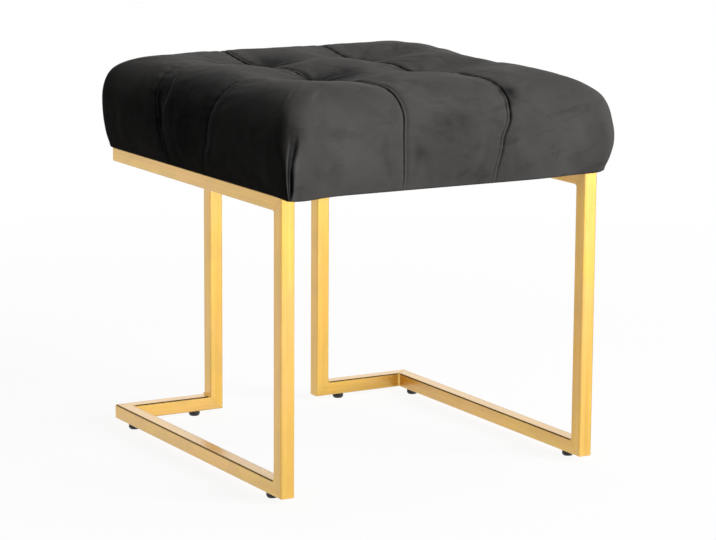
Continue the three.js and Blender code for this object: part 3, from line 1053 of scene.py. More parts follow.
@dataclass
class Cushion:
    """The tufted seat cushion: velvet over foam, in one padded piece. Sizes in millimetres.

    Zones and swells give x, y, width, depth and amount in the unrolled plan, where the
    sides lie flat round the top.
    """

    half_width: float = 225.0
    half_depth: float = 255.0
    height: float = 127.0
    crown: float = 4.0
    fullest: float = 63.0
    bulge: float = 12.0
    inset: float = 60.0
    corner_radius: float = 24.0
    crown_radius: float = 24.0
    right_corner: float = 18.0
    least_corner: float = 4.0
    tight_from: float = 95.0
    tight_over: float = 40.0
    power: float = 2.4
    side_end: float = 5.0
    side_fade: float = 12.0
    edge_roll: tuple[tuple[float, float, float, float], ...] = (
        (4.5, 1.6, 0.97, -0.24),
        (3.4, -0.8, 0.71, -0.71),
        (1.9, -1.5, 0.1, -0.99),
        (0.9, -0.9, -0.3, -0.9),
        (0.6, 0.0, 0.0, 0.0),
    )
    droop: float = 0.8
    near_corner: Zone = (-208.0, -263.0, 28.0, 28.0, 3.0)
    right_lift: float = 3.2
    hang_height: float = 30.0
    held_height: float = 6.0
    velvet: float = 2.0
    flap_steps: tuple[float, ...] = (-12.0, -28.0, -45.0)
    flap_back: float = -20.0
    board_side: float = -0.7
    foam_steps: tuple[float, ...] = (-30.0, -100.0)
    board_top: float = 17.6
    pleat_place: float = 226.5
    pleat_top: float = 283.0
    pleat_fade: float = 30.0
    pleat_depth: float = 3.8
    pleat_width: float = 1.3
    pleat_step: float = 1.5
    pleat_step_width: float = 4.0
    pleat_ridge: float = 1.4
    pleat_ridge_place: float = 5.0
    pleat_ridge_width: float = 2.8
    tuft_pitch: float = 150.0
    tuft_setback: float = 29.0
    tuft_depth: float = 13.0
    tuft_reach: float = 100.0
    stitch_depth: float = 5.0
    stitch_reach: float = 24.0
    gather_depth: float = 1.5
    gather_reach: float = 17.0
    gathers: int = 11
    wander_reach: float = 70.0
    fold_reach: float = 74.0
    lean_reach: float = 60.0
    line_steps: tuple[float, ...] = (1.3, 2.8, 4.6, 6.8, 9.6, 13.0, 17.2, 22.4, 29.0)
    panel_cells: int = 6
    outer_cells: int = 12
    outer_ease: float = 1.55
    corner_steps: int = 10
    shoulder_rows: int = 20
    lower_rows: int = 9
    # Painted shade in and beside the tufts' dimples, painted shade and painted light over the left
    # side, and darker and lighter spots on the top and front, all added to the painted shading.
    painted_shading_zones: tuple[Zone, ...] = (
        (-75.0, -46.0, 18.0, 18.0, -1.0),
        (-75.0, 104.0, 18.0, 18.0, -1.0),
        (75.0, -46.0, 18.0, 18.0, -1.0),
        (75.0, 104.0, 18.0, 18.0, -1.0),
        (-150.0, -320.0, 80.0, 60.0, 0.25),
        (-36.0, -54.0, 34.0, 36.0, -1.6),
        (-50.0, 118.0, 28.0, 28.0, -1.3),
        (-58.0, 60.0, 20.0, 40.0, -0.5),
        (90.0, 40.0, 24.0, 40.0, -0.4),
        (98.0, 118.0, 22.0, 24.0, -0.4),
        (92.0, -96.0, 22.0, 40.0, -0.5),
        (-270.0, 20.0, 60.0, 40.0, -0.7),
        (-200.0, -40.0, 40.0, 60.0, -0.5),
        (-210.0, -170.0, 36.0, 80.0, -0.55),
        (0.0, -284.0, 26.0, 13.0, -0.5),
        (84.0, -250.0, 13.0, 16.0, -0.8),
        (-53.0, -320.0, 10.0, 9.0, -0.35),
        (-235.0, 160.0, 50.0, 40.0, 0.25),
        (-300.0, -175.0, 70.0, 70.0, 0.8),
        (-300.0, 215.0, 60.0, 60.0, 0.6),
        (-110.0, -150.0, 50.0, 40.0, 0.25),
    )
    pucker: float = 0.35
    pucker_reach: float = 5.0
    pucker_slit: float = 2.5
    rumple: float = 0.5
    rumple_size: float = 34.0
    puff: float = -1.5
    puff_share: float = 0.72
    puff_ends: Plan = (340.0, 370.0)
    swell_cap: float = 3.5
    swells: tuple[Zone, ...] = (
        (240.0, 170.0, 50.0, 70.0, 5.0),
        (190.0, 100.0, 50.0, 60.0, 4.0),
        (225.0, -225.0, 40.0, 40.0, -3.5),
        (180.0, -240.0, 35.0, 28.0, 3.0),
        (264.0, -292.0, 42.0, 42.0, 5.5),
        (-100.0, -98.0, 50.0, 60.0, -6.5),
        (48.0, -92.0, 42.0, 42.0, -4.0),
        (-98.0, 64.0, 35.0, 35.0, -2.5),
        (50.0, 62.0, 35.0, 35.0, -3.0),
        (-260.0, 260.0, 60.0, 60.0, 3.0),
        (-170.0, 190.0, 60.0, 60.0, -3.0),
    )
    sim_frames: int = 16
    slot: str = "velvet"
    CLOTH: ClassVar[dict[str, float]] = {
        "quality": 5,
        "mass": 0.2,
        "tension_stiffness": 12.0,
        "compression_stiffness": 12.0,
        "shear_stiffness": 6.0,
        "bending_stiffness": 0.6,
        "shrink_min": -0.003,
        "use_pressure": True,
        "uniform_pressure_force": 2.0,
    }

    def __post_init__(self) -> None:
        """Sets the folds, the profile, the grid and the level that the cushion stands on."""
        half, middle = self.tuft_pitch / 2, self.tuft_setback
        self.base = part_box("velvet_cover")[0].z / MM
        self.tuft_columns = (-half, half)
        self.tuft_rows = (middle - half, middle + half)
        self.shoulder = self.height - self.crown
        self.rows = self.profile()
        self.length = self.rows[-1].arc
        self.columns = self.column_folds()
        self.cross_rows = self.row_folds()
        self.grid_x, self.grid_y = self.lines(self.tuft_columns), self.lines(self.tuft_rows)
        self.wide, self.deep = wide, deep = len(self.grid_x) - 1, len(self.grid_y) - 1
        self.edge = [(k, 0) for k in range(wide)] + [(wide, k) for k in range(deep)]
        self.edge += [(k, deep) for k in range(wide, 0, -1)] + [(0, k) for k in range(deep, 0, -1)]

    def profile(self) -> list[ProfileRow]:
        """Draws the side.

        Returns:
            Its rings, from the crown's edge down to the bottom edge.
        """
        run, rise = self.bulge + self.inset, self.shoulder - self.fullest
        rows = []
        for step in range(1, self.shoulder_rows + 1):
            angle = (1.0 - step / self.shoulder_rows) * math.pi / 2
            across = math.cos(angle) ** (2 / self.power)
            up = math.sin(angle) ** (2 / self.power)
            way = (across ** (self.power - 1) / run, up ** (self.power - 1) / rise)
            offset, height = run * across - self.inset, self.fullest + rise * up
            rows.append(ProfileRow(offset, height, *Vector(way).normalized()))
        for step in range(1, self.lower_rows + 1):
            height = self.fullest + (self.side_end - self.fullest) * step / self.lower_rows
            drop = 1.0 - height / self.fullest
            spread = math.sqrt(1.0 - drop * drop)
            way = (spread / self.bulge, -drop / self.fullest)
            rows.append(ProfileRow(self.bulge * spread, height, *Vector(way).normalized()))
        lowest = -min(height for _, height, _, _ in self.edge_roll)
        for offset, height, *way in self.edge_roll:
            level = height * self.droop / lowest if height < 0 else height
            rows.append(ProfileRow(offset, level, *way))
        arc = 0.0
        before = (-self.inset, self.shoulder)
        for row in rows:
            arc += math.hypot(row.offset - before[0], row.height - before[1])
            row.arc = arc
            before = (row.offset, row.height)
        return rows

    def arc_at(self, height: float) -> float:
        """The length down the side, from the crown's edge, to a height."""
        return min(self.rows, key=lambda row: abs(row.height - height)).arc

    def column_folds(self) -> tuple[Fold, Fold]:
        """Draws the two folds that run from front to back.

        Returns:
            The folds, left one first.
        """
        front, back = -(self.half_depth - self.inset), self.half_depth - self.inset
        end, middle = self.length, self.tuft_setback
        low, high = self.tuft_rows

        def down(height: float) -> float:
            """A place along the fold on the front face, by its height."""
            return front - self.arc_at(height)

        over_top = (
            (front + 70, 7.0), (low, 4.0), (middle, 4.0), (high, 4.0), (back - 20, 3.5),
            (back + 30, 1.5), (back + end, 0.5),
        )
        slit_top = (
            (low, 0.6), (middle, 3.0), (high, 0.6), (back - 60, 2.4), (back + end, 1.8),
        )
        low_roll = ((down(60), 22.0), (front, 30.0), (low, 40.0), (back, 18.0))
        high_roll = ((down(60), 10.0), (front, 20.0), (low, 34.0), (back, 16.0))
        left = Fold(
            centre=self.tuft_columns[0],
            valley=(
                (front - end, 0.3), (down(40), 0.8), (down(80), 1.2), (down(108), 2.0),
                (front - 5, 4.0), (front + 30, 6.0), *over_top,
            ),
            slit=(
                (front - end, 0.9), (down(50), 1.3), (down(90), 1.7), (front + 60, 2.4),
                *slit_top,
            ),
            drift=(
                (front - end, 2.0), (down(60), -1.5), (down(97), 1.5), (front, 0.0),
                (back, 0.0), (back + end, 6.0),
            ),
            low_roll=low_roll,
            high_roll=high_roll,
            over=1.0,
        )
        right = Fold(
            centre=self.tuft_columns[1],
            valley=(
                (front - end, 0.3), (down(40), 1.0), (down(80), 1.6), (down(108), 2.0),
                (front - 5, 3.5), (front + 30, 5.0), *over_top,
            ),
            slit=(
                (front - end, 0.8), (down(45), 1.5), (down(90), 2.6), (front + 60, 2.2),
                *slit_top,
            ),
            drift=(
                (down(10), -16.0), (down(47), -10.0), (down(82), 0.5), (down(100), 2.5),
                (front, 0.0), (back, 0.0), (back + end, -5.0),
            ),
            low_roll=low_roll,
            high_roll=high_roll,
            over=-1.0,
        )
        return left, right

    def row_folds(self) -> tuple[Fold, Fold]:
        """Draws the two folds that run from side to side.

        Returns:
            The folds, front one first.
        """
        left, right = -(self.half_width - self.inset), self.half_width - self.inset
        end = self.length
        low, high = self.tuft_columns

        def down(height: float) -> float:
            """A place along the fold on the left face, by its height."""
            return left - self.arc_at(height)

        over_top = (
            (low, 4.0), (low + 45, 3.0), (0.0, 1.5), (high - 45, 3.0), (high, 4.0),
            (high + 40, 3.0),
        )
        front = Fold(
            centre=self.tuft_rows[0],
            valley=(
                (left - end, 0.4), (down(50), 2.0), (down(95), 3.8), (left, 3.5),
                (low - 30, 3.5), *over_top, (right, 2.0), (right + 50, 1.5), (right + end, 0.4),
            ),
            slit=(
                (left - end, 2.4), (down(60), 4.4), (down(95), 3.4), (left, 0.5),
                (low - 40, 0.0), (high + 40, 0.0), (right + 60, 1.0), (right + end, 1.4),
            ),
            drift=(
                (down(5), 4.0), (down(55), -15.0), (down(100), -24.0), (left + 30, -12.0),
                (low, 0.0), (high, 0.0), (right + 30, -4.0), (right + end, 8.0),
            ),
            low_roll=((left, 18.0), (low, 46.0)),
            high_roll=((left, 40.0), (low, 50.0)),
            over=-1.0,
            sharpness=(
                (down(60), 1.0), (down(110), 0.3), (left + 20, 0.0), (right, 0.0),
                (right + 90, 0.8),
            ),
            painted_highlight_share=1.5,
        )
        back = Fold(
            centre=self.tuft_rows[1],
            valley=(
                (left - end, 1.0), (down(30), 2.5), (down(60), 4.0), (down(95), 4.0),
                (left, 4.0), (low - 30, 4.0), *over_top, (right, 2.5), (right + 50, 2.0),
                (right + end, 0.8),
            ),
            slit=(
                (left - end, 3.0), (down(30), 5.0), (down(60), 6.5), (down(105), 4.0),
                (left, 1.8), (low - 40, 0.6), (high + 40, 0.0), (right + 40, 1.6),
                (right + end, 1.8),
            ),
            drift=(
                (down(3), -46.0), (down(20), -36.0), (down(56), -20.0), (down(92), -12.0),
                (left, 4.0), (low, 0.0), (high, 0.0), (right + 20, 2.0), (right + end, -24.0),
            ),
            low_roll=((left, 34.0), (low, 40.0)),
            high_roll=((left, 20.0), (low, 40.0)),
            over=-1.0,
            lip=(
                (down(3), 6.0), (down(35), 8.0), (down(60), 18.0), (down(90), 32.0),
                (left, 8.0), (low, 4.0),
            ),
            pocket=((down(25), 0.0), (down(55), 5.0), (down(85), 4.5), (down(112), 0.0)),
            sharpness=(
                (left, 1.0), (low - 20, 0.5), (low + 20, 0.0), (right, 0.0), (right + 70, 0.8),
            ),
            painted_highlight_share=1.5,
        )
        return front, back

    def lines(self, creases: Plan) -> list[GridLine]:
        """Lays out grid lines across the cushion, dense beside the folds.

        Args:
            creases: the two folds' places.

        Returns:
            For each line, a function of an outline's half size and corner radius.
        """
        steps, cells = self.line_steps, self.panel_cells
        low, high = creases
        wide = (high - low) / 2
        middle = [*steps, *(steps[-1] + (wide - steps[-1]) * k / cells for k in range(1, cells))]
        places = [low, high, (low + high) / 2, *(low + s for s in middle)]
        places = sorted([*places, *(high - s for s in middle)])
        made: list[GridLine] = [lambda half, radius, at=at: at for at in places]
        for way, crease in ((-1.0, low), (1.0, high)):
            outer: list[GridLine] = [
                lambda half, radius, at=crease + way * step: at for step in steps
            ]
            start = crease + way * steps[-1]
            for k in range(1, self.outer_cells + 1):
                share = 1.0 - (1.0 - k / self.outer_cells) ** self.outer_ease
                outer.append(
                    lambda half, radius, way=way, start=start, share=share:
                    start + share * (way * (half - radius) - start)
                )
            for k in range(1, self.corner_steps + 1):
                outer.append(
                    lambda half, radius, way=way, share=k / self.corner_steps:
                    way * (half - radius + share * radius)
                )
            made = outer[::-1] + made if way < 0 else made + outer
        return made

    @staticmethod
    def rounded(place: Plan, half_width: float, half_depth: float, radius: float) -> Plan:
        """Draws a point in the square corner of an outline onto the rounded corner.

        Args:
            place: the point's x and y.
            half_width: half the outline's width.
            half_depth: half its depth.
            radius: its corners' radius.

        Returns:
            The point's new x and y.
        """
        x, y = place
        flat_x, flat_y = half_width - radius, half_depth - radius
        beyond_x, beyond_y = abs(x) - flat_x, abs(y) - flat_y
        if beyond_x <= 0 or beyond_y <= 0:
            return x, y
        share_x, share_y = beyond_x / radius, beyond_y / radius
        round_x = flat_x + beyond_x * math.sqrt(1 - share_y * share_y / 2)
        round_y = flat_y + beyond_y * math.sqrt(1 - share_x * share_x / 2)
        return math.copysign(round_x, x), math.copysign(round_y, y)

    def drawn(self, at: float, along: float, folds: Iterable[Fold]) -> float:
        """Moves a grid place with the folds that wander and lean near it.

        Args:
            at: the place across the folds.
            along: the place along them.
            folds: the two folds.

        Returns:
            The place across them, moved.
        """
        moved = at
        for fold in folds:
            near = 1.0 - ((at - fold.centre) / self.wander_reach) ** 2
            if near > 0:
                moved += fold.shift(along) * near * near
        for fold in folds:
            if abs(moved - fold.centre) < self.lean_reach:
                moved += fold.pinch(fold.beside(moved, along), along)
        return moved

    def folds_at(self, x: float, y: float) -> Iterator[tuple[Fold, float, float]]:
        """Each fold, with a place's distances across and along it, from the middle."""
        for folds, across, along in ((self.columns, x, y), (self.cross_rows, y, x)):
            for fold in folds:
                yield fold, across, along

    def depth(self, plan_x: float, plan_y: float) -> float:
        """How deep the tufting draws the velvet in, at a place in the unrolled plan.

        Args:
            plan_x: the place across.
            plan_y: the place along.

        Returns:
            The depth in millimetres.
        """
        cubes = sum(
            fold.sink(fold.beside(across, along), along) ** 3
            for fold, across, along in self.folds_at(plan_x, plan_y)
            if abs(across - fold.centre) < self.fold_reach
        )
        total = math.copysign(abs(cubes) ** (1 / 3), cubes)
        pulls = sum(
            self.tuft(plan_x - x, plan_y - y, x + 2 * y)
            for x in self.tuft_columns for y in self.tuft_rows
        )
        swell = zoned(self.swells, plan_x, plan_y)
        return total + pulls - swell + self.pleat(plan_x, plan_y)

    def tuft(self, across: float, along: float, turn: float) -> float:
        """How deep one tuft draws the velvet in, with the gathers round it.

        Args:
            across: the distance from the tuft along X.
            along: the distance from it along Y.
            turn: where its gathers start round it.

        Returns:
            The depth in millimetres.
        """
        away = math.hypot(across, along)
        bowl = self.tuft_depth * max(0.0, 1.0 - (away / self.tuft_reach) ** 2) ** 1.5
        share = max(0.0, 1.0 - away / self.stitch_reach)
        depth = bowl + self.stitch_depth * (1.0 - math.sqrt(1.0 - share * share))
        around = math.atan2(along, across)
        wave = math.cos(self.gathers * around + turn + 1.3 * math.sin(2 * around + turn))
        near = away / self.gather_reach
        uneven = 0.6 + 0.4 * math.sin(3 * around + turn)
        return depth + self.gather_depth * wave * near * math.exp(1.0 - near) * uneven

    def hang(self, x: float, y: float) -> float:
        """How far the bottom edge hangs at the near corner, less its lift at the right one."""
        lifted = rising(x, 110.0, 130.0) * rising(-y, 190.0, 70.0)
        return zoned((self.near_corner,), x, y) - self.right_lift * lifted

    def pleat(self, plan_x: float, plan_y: float) -> float:
        """How deep the pleat cuts in where the velvet is folded round the near corner.

        Args:
            plan_x: the place across, in the unrolled plan.
            plan_y: the place along.

        Returns:
            The depth in millimetres, below 0 on the ridge beside it.
        """
        if plan_y > -self.half_depth or plan_x > 0:
            return 0.0
        away = self.pleat_place - abs(plan_x)
        groove = self.pleat_depth * bell(away, self.pleat_width)
        step = self.pleat_step * smooth(0.5 - away / self.pleat_step_width)
        step *= rising(away, -20.0, 8.0)
        ridge = self.pleat_ridge * bell(away - self.pleat_ridge_place, self.pleat_ridge_width)
        return rising(-plan_y, self.pleat_top, self.pleat_fade) * (groove + step - ridge)

    def panel_puff(self, plan_x: float, plan_y: float) -> float:
        """How far the foam pushes a panel out between its folds.

        Args:
            plan_x: the place across, in the unrolled plan.
            plan_y: the place along.

        Returns:
            From 0 to 1.
        """

        def hump(at: float, low: float, high: float, end: float) -> float:
            """A hump over the panel that a place is in."""
            if at < low:
                share = (low - at) / (low + end)
            elif at > high:
                share = (at - high) / (end - high)
            else:
                share = 0.5 - abs(at - (low + high) / 2) / (high - low)
                return math.sin(math.pi * (0.5 - abs(share - 0.5))) if share < 0.5 else 1.0
            return math.sin(math.pi * max(0.0, share) * self.puff_share) if share < 1 else 0.0

        end_x, end_y = self.puff_ends
        return hump(plan_x, *self.tuft_columns, end_x) * hump(plan_y, *self.tuft_rows, end_y)

    def outline(self, column: int, line: int, offset: float, arc: float) -> tuple[Plan, Plan]:
        """Places a grid corner on an outline round the cushion.

        Args:
            column: its number across.
            line: its number along.
            offset: how far the outline stands out past the frame.
            arc: the length down the side from the crown's edge to it.

        Returns:
            Its x and y, and its place in the unrolled plan.
        """
        half_width, half_depth = self.half_width + offset, self.half_depth + offset
        radius = max(self.corner_radius + offset, self.crown_radius)
        if line < self.deep / 2 and offset > 0:
            left = column < self.wide / 2
            tight = half_width - self.pleat_place if left else self.right_corner
            share = rising(arc, self.tight_from, self.tight_over)
            radius += (max(self.least_corner, tight) - radius) * share
        x, y = self.grid_x[column](half_width, radius), self.grid_y[line](half_depth, radius)
        end_x, end_y = column in (0, self.wide), line in (0, self.deep)
        plan_x = math.copysign(self.half_width - self.inset + arc, x) if end_x else x
        plan_y = math.copysign(self.half_depth - self.inset + arc, y) if end_y else y
        if not end_x:
            x = plan_x = self.drawn(x, plan_y, self.columns)
        if not end_y:
            y = plan_y = self.drawn(y, plan_x, self.cross_rows)
        return self.rounded((x, y), half_width, half_depth, radius), (plan_x, plan_y)

    def underside(self) -> list[Plan]:
        """Goes in under the cushion: the flap, the velvet on the board's side, and the foam.

        Returns:
            The offset and the height of each ring.
        """
        flap = [(step, 0.0) for step in self.flap_steps]
        inside = (self.flap_steps[-1], self.flap_back, self.board_side)
        foam = (self.board_side, *self.foam_steps)
        return [
            *flap, *((step, self.velvet) for step in inside),
            *((step, self.board_top) for step in foam),
        ]

    def model(self) -> Piece:
        """Builds the cushion's mesh, open under the foam.

        Returns:
            The cushion, with its unrolled plan and its held points kept on it.
        """
        points: list[Place] = []
        plans: list[Plan] = []
        held: list[float] = []

        def add(place: Plan, height: float, plan: Plan, hold: float) -> None:
            """Keeps one point."""
            points.append((place[0] * MM, place[1] * MM, (self.base + height) * MM))
            plans.append(plan)
            held.append(hold)

        for line in range(self.deep + 1):
            for column in range(self.wide + 1):
                place, plan = self.outline(column, line, -self.inset, 0.0)
                across = 1 - (place[0] / (self.half_width - self.inset)) ** 2
                along = 1 - (place[1] / (self.half_depth - self.inset)) ** 2
                lift = self.crown * max(0.0, across * along) + self.puff * self.panel_puff(*plan)
                add(place, self.shoulder + lift - self.depth(*plan), plan, 0.0)
        least = self.edge_roll[-1][0]
        for row in self.rows:
            free = row.height >= self.held_height
            for column, line in self.edge:
                _, plan = self.outline(column, line, row.offset, row.arc)
                sink = self.depth(*plan) * rising(row.height, -1.0, self.side_fade)
                sink -= self.puff * self.panel_puff(*plan)
                if not free:
                    sink = min(sink, max(0.0, row.offset - least))
                out = row.offset - sink * row.out_across
                place, _ = self.outline(column, line, out, row.arc)
                height = row.height - (sink * row.out_up if free else 0.0)
                if row.offset > least:
                    height -= self.hang(*place) * smooth(1.0 - row.height / self.hang_height)
                add(place, height, plan, 0.0 if free else 1.0)
        for offset, height in self.underside():
            for column, line in self.edge:
                place, plan = self.outline(column, line, offset, self.length)
                add(place, height, plan, 1.0)
        return self.joined(points, plans, held)

    def joined(self, points: list[Place], plans: list[Plan], held: list[float]) -> Piece:
        """Joins the points into a mesh.

        Args:
            points: the top's grid, then the rings round it from the top down.
            plans: their places in the unrolled plan.
            held: how firmly the simulation holds each.

        Returns:
            The cushion.
        """
        row_length, around = self.wide + 1, len(self.edge)
        top = row_length * (self.deep + 1)
        corners = [
            line * row_length + column for line in range(self.deep) for column in range(self.wide)
        ]
        faces: list[tuple[int, ...]] = [
            (first, first + 1, first + row_length + 1, first + row_length) for first in corners
        ]

        def ring(row: int, step: int) -> int:
            """The point of a ring, with ring 0 the edge of the top grid."""
            step %= around
            if row == 0:
                column, line = self.edge[step]
                return line * row_length + column
            return top + (row - 1) * around + step

        for row in range((len(points) - top) // around):
            for step in range(around):
                below = ring(row + 1, step), ring(row + 1, step + 1)
                faces.append((*below, ring(row, step + 1), ring(row, step)))
        piece = mesh_object("velvet_cushion", points, faces)
        kept = piece.data.attributes.new("plan", "FLOAT_VECTOR", "POINT")
        kept.data.foreach_set("vector", [v for x, y in plans for v in (x, y, 0.0)])
        group = piece.vertex_groups.new(name="stitched")
        for index, weight in enumerate(held):
            if weight:
                group.add([index], weight, "REPLACE")
        return piece

    def hold(self, place: Vector) -> float:
        """How firmly stitches and folds hold a point.

        Args:
            place: its place in the unrolled plan.

        Returns:
            From 0, free, to 1.
        """
        firm = 0.0
        for fold, across, along in self.folds_at(place.x, place.y):
            beside = fold.beside(across, along)
            lip = read_curve(fold.lip, along)
            away = abs(beside)
            if lip > self.held_height:
                away = min(away, abs(beside - fold.over * lip))
            firm = max(firm, smooth((26.0 - away) / 20.0))
        x, y = abs(place.x), abs(place.y)
        inside = max(max(0.0, self.half_width - x), max(0.0, self.half_depth - y))
        lower = rising(max(x + 30.0, y), 222.0, 50.0)
        lower *= rising(x, 165.0, 40.0) * rising(y, 195.0, 40.0)
        return max(firm, lower * smooth((58.0 - inside) / 40.0))

    def swell(self, piece: Piece) -> None:
        """Lets the foam press the velvet out between the folds, as a cloth simulation.

        Args:
            piece: the cushion's mesh.
        """
        group = piece.vertex_groups["stitched"]
        before = [vertex.co.copy() for vertex in piece.data.vertices]
        for index, place in enumerate(piece.data.attributes["plan"].data):
            firm = self.hold(place.vector)
            if firm > 0.02:
                group.add([index], firm, "ADD")
        activate(piece)
        cloth = piece.modifiers.new("swelling", "CLOTH")
        for name, value in self.CLOTH.items():
            setattr(cloth.settings, name, value)
        cloth.settings.vertex_group_mass = group.name
        cloth.settings.effector_weights.gravity = 0.0
        cloth.collision_settings.use_collision = False
        cloth.point_cache.frame_start, cloth.point_cache.frame_end = 1, self.sim_frames
        for number in range(1, self.sim_frames + 1):
            bpy.context.scene.frame_set(number)
        bpy.ops.object.modifier_apply(modifier=cloth.name)
        bpy.context.scene.frame_set(1)
        cap, most = self.swell_cap * MM, 0.0
        for vertex, place in zip(piece.data.vertices, before):
            move = vertex.co - place
            most = max(most, move.length)
            if move.length > cap:
                vertex.co = place + move * (cap / move.length)
        log.info("cushion: swelled by up to %.1f mm", most / MM)

    def brush(self, piece: Piece) -> None:
        """Puckers the velvet beside its folds, and keeps its painted shade and painted highlights
        in an attribute.

        Args:
            piece: the cushion.
        """
        piece.data.attributes.new("lie", "FLOAT", "POINT")
        plan, kept = piece.data.attributes["plan"].data, piece.data.attributes["lie"].data
        painted_shades: list[float] = []
        moved: list[float] = []
        normals = [vertex.normal.copy() for vertex in piece.data.vertices]
        for vertex, normal, place in zip(piece.data.vertices, normals, plan):
            x, y, _ = place.vector
            lie = pucker = 0.0
            for fold, across, along in self.folds_at(x, y):
                beside = fold.beside(across, along)
                if abs(beside) < self.lean_reach:
                    lie += fold.lie(beside, along)
                    firm = min(1.0, read_curve(fold.slit, along) / self.pucker_slit)
                    turn = 4.0 * noise.noise(Vector((across * 0.01, along * 0.02, fold.centre)))
                    wave = math.sin(along / 2.6 + turn + (1.5 if beside > 0 else 0.0))
                    near = abs(beside) / self.pucker_reach
                    pucker += firm * wave * near * math.exp(1.0 - near)
            pleat = self.pleat(x, y)
            # painted shade in the pleat's groove, painted highlight on its ridge
            lie -= (0.5 if pleat > 0 else 0.35) * pleat
            # painted shading from the folds, the pleat and the painted shading zones
            painted_shades.append(lie + zoned(self.painted_shading_zones, x, y))
            free = rising(vertex.co.z / MM - self.base, 6.0, 8.0) if normal.z > -0.6 else 0.0
            rumple = self.rumple * noise.noise(Vector((x, y, 0.0)) / self.rumple_size)
            moved.extend(vertex.co + normal * free * (rumple + self.pucker * pucker) * MM)
        kept.foreach_set("value", painted_shades)
        piece.data.vertices.foreach_set("co", moved)
        piece.data.update()
        log.info("cushion: pile lies from %.2f to %.2f", min(painted_shades), max(painted_shades))

    def ease_corners(self, piece: Piece) -> None:
        """Smooths the crown's four corners, where its grid meets the side's rings.

        Args:
            piece: the cushion.
        """
        eased = piece.vertex_groups.new(name="eased")
        for vertex, place in zip(piece.data.vertices, piece.data.attributes["plan"].data):
            x, y, _ = place.vector
            near = rising(abs(x), 112.0, 34.0) * rising(abs(y), 142.0, 34.0)
            near *= rising(vertex.co.z / MM - self.base, 62.0, 30.0)
            if near > 0.01:
                eased.add([vertex.index], near, "REPLACE")
        easing = piece.modifiers.new("easing", "SMOOTH")
        easing.factor = 0.5
        easing.iterations = 9
        easing.vertex_group = eased.name
        bpy.ops.object.modifier_apply(modifier=easing.name)

    def finish_mesh(self, piece: Piece) -> None:
        """Rounds the cushion's mesh off, closes it and shades it smooth.

        Args:
            piece: the cushion.
        """
        activate(piece)
        self.ease_corners(piece)
        rounding = piece.modifiers.new("rounding", "SUBSURF")
        rounding.levels = rounding.render_levels = 1
        bpy.ops.object.modifier_apply(modifier=rounding.name)
        self.brush(piece)
        bpy.ops.object.mode_set(mode="EDIT")
        bpy.ops.mesh.select_all(action="DESELECT")
        bpy.ops.mesh.select_mode(type="EDGE")
        bpy.ops.mesh.select_non_manifold()
        bpy.ops.mesh.fill()
        bpy.ops.mesh.select_all(action="SELECT")
        bpy.ops.mesh.normals_make_consistent(inside=False)
        bpy.ops.object.mode_set(mode="OBJECT")
        bpy.ops.object.shade_smooth()

    def make(self, velvet: Material) -> None:
        """Makes the cushion and puts it in place of its solids.

        Args:
            velvet: the cover's material.
        """
        piece = self.model()
        self.swell(piece)
        self.finish_mesh(piece)
        dress(piece, velvet)
        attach(piece, BODY)
        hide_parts("velvet_cover", "seat_foam")
        log.info("cushion: %d faces", len(piece.data.polygons))


@dataclass
class SideFrames:
    """The welded tubes of both side frames."""

    GRAINS: ClassVar[dict[str, Grain]] = {
        "top_rail": Grain.Y,
        "top_return": Grain.X,
        "front_leg": Grain.Z,
        "rear_leg": Grain.Z,
        "floor_rail": Grain.Y,
        "floor_return": Grain.X,
    }

    def dress(self, golds: dict[Grain, Material]) -> None:
        """Gives each tube the gold that is brushed along it.

        Args:
            golds: the gold for each grain.
        """
        for side in Side:
            for name, grain in self.GRAINS.items():
                dress(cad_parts[f"{name}_{side.value}"], golds[grain])


@dataclass
class WeldBeads:
    """The small ground welds left in the inner corners of the tubes. Sizes in millimetres."""

    leg: float = 2.6
    width: float = 17.0
    tube: float = 19.0
    segments: int = 5
    rounding: float = 0.94
    hollow: float = 0.2
    shading_angle: float = math.radians(40.0)

    def model(self) -> Piece:
        """Models one bead in the corner of the X and Y axes, lying along Z.

        Returns:
            The bead.
        """
        half = 0.5 * self.leg * MM
        bead = bar((self.leg, self.leg, self.width))
        bpy.ops.transform.translate(value=(half, half, 0.0))
        clear_selection("EDGE")
        for edge in bead.data.edges:
            ends = [bead.data.vertices[index].co for index in edge.vertices]
            edge.select = all(end.x > half and end.y > half for end in ends)
        bpy.ops.object.mode_set(mode="EDIT")
        bpy.ops.mesh.bevel(
            offset=self.rounding * self.leg * MM, segments=self.segments, profile=self.hollow
        )
        bpy.ops.object.mode_set(mode="OBJECT")
        bpy.ops.object.shade_smooth_by_angle(angle=self.shading_angle)
        return bead

    def places(self) -> list[tuple[str, Vector, Vector, Vector]]:
        """Finds the inner corners.

        Returns:
            For each, its name, its place, and the two ways out of it along the tubes.
        """
        half = 0.5 * self.tube
        low, high = (MITRE_MIDDLE - MITRE_RISE) / MM, (MITRE_MIDDLE + MITRE_RISE) / MM
        rail, back, leg = MITRE_SIDE / MM, MITRE_BACK / MM, MITRE_INNER / MM
        made = []
        for side, way in ((Side.LEFT, -1.0), (Side.RIGHT, 1.0)):
            for level, height, up in (("floor", low, 1.0), ("top", high, -1.0)):
                inside = height + up * half
                for corner, place, across, along in (
                    ("front", (way * rail, half - back, inside), (0.0, 1.0, 0.0), (0.0, 0.0, up)),
                    ("back", (way * (rail - half), back - half, height),
                     (-way, 0.0, 0.0), (0.0, -1.0, 0.0)),
                    ("inner", (way * (leg + half), back, inside),
                     (way, 0.0, 0.0), (0.0, 0.0, up)),
                ):
                    name = f"weld_{level}_{corner}_{side.value}"
                    made.append((name, Vector(place), Vector(across), Vector(along)))
        return made

    def make(self, gold: Material) -> None:
        """Puts a copy of the bead in every inner corner.

        Args:
            gold: the frame's finish.
        """
        first = self.model()
        for name, place, across, along in self.places():
            bead = copied(first, name)
            turn = Matrix((across, along, across.cross(along))).transposed()
            for vertex in bead.data.vertices:
                vertex.co = turn @ vertex.co + place * MM
            dress(bead, gold)
            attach(bead, BODY)
            log.info("%s: placed", name)
        bpy.data.objects.remove(first)


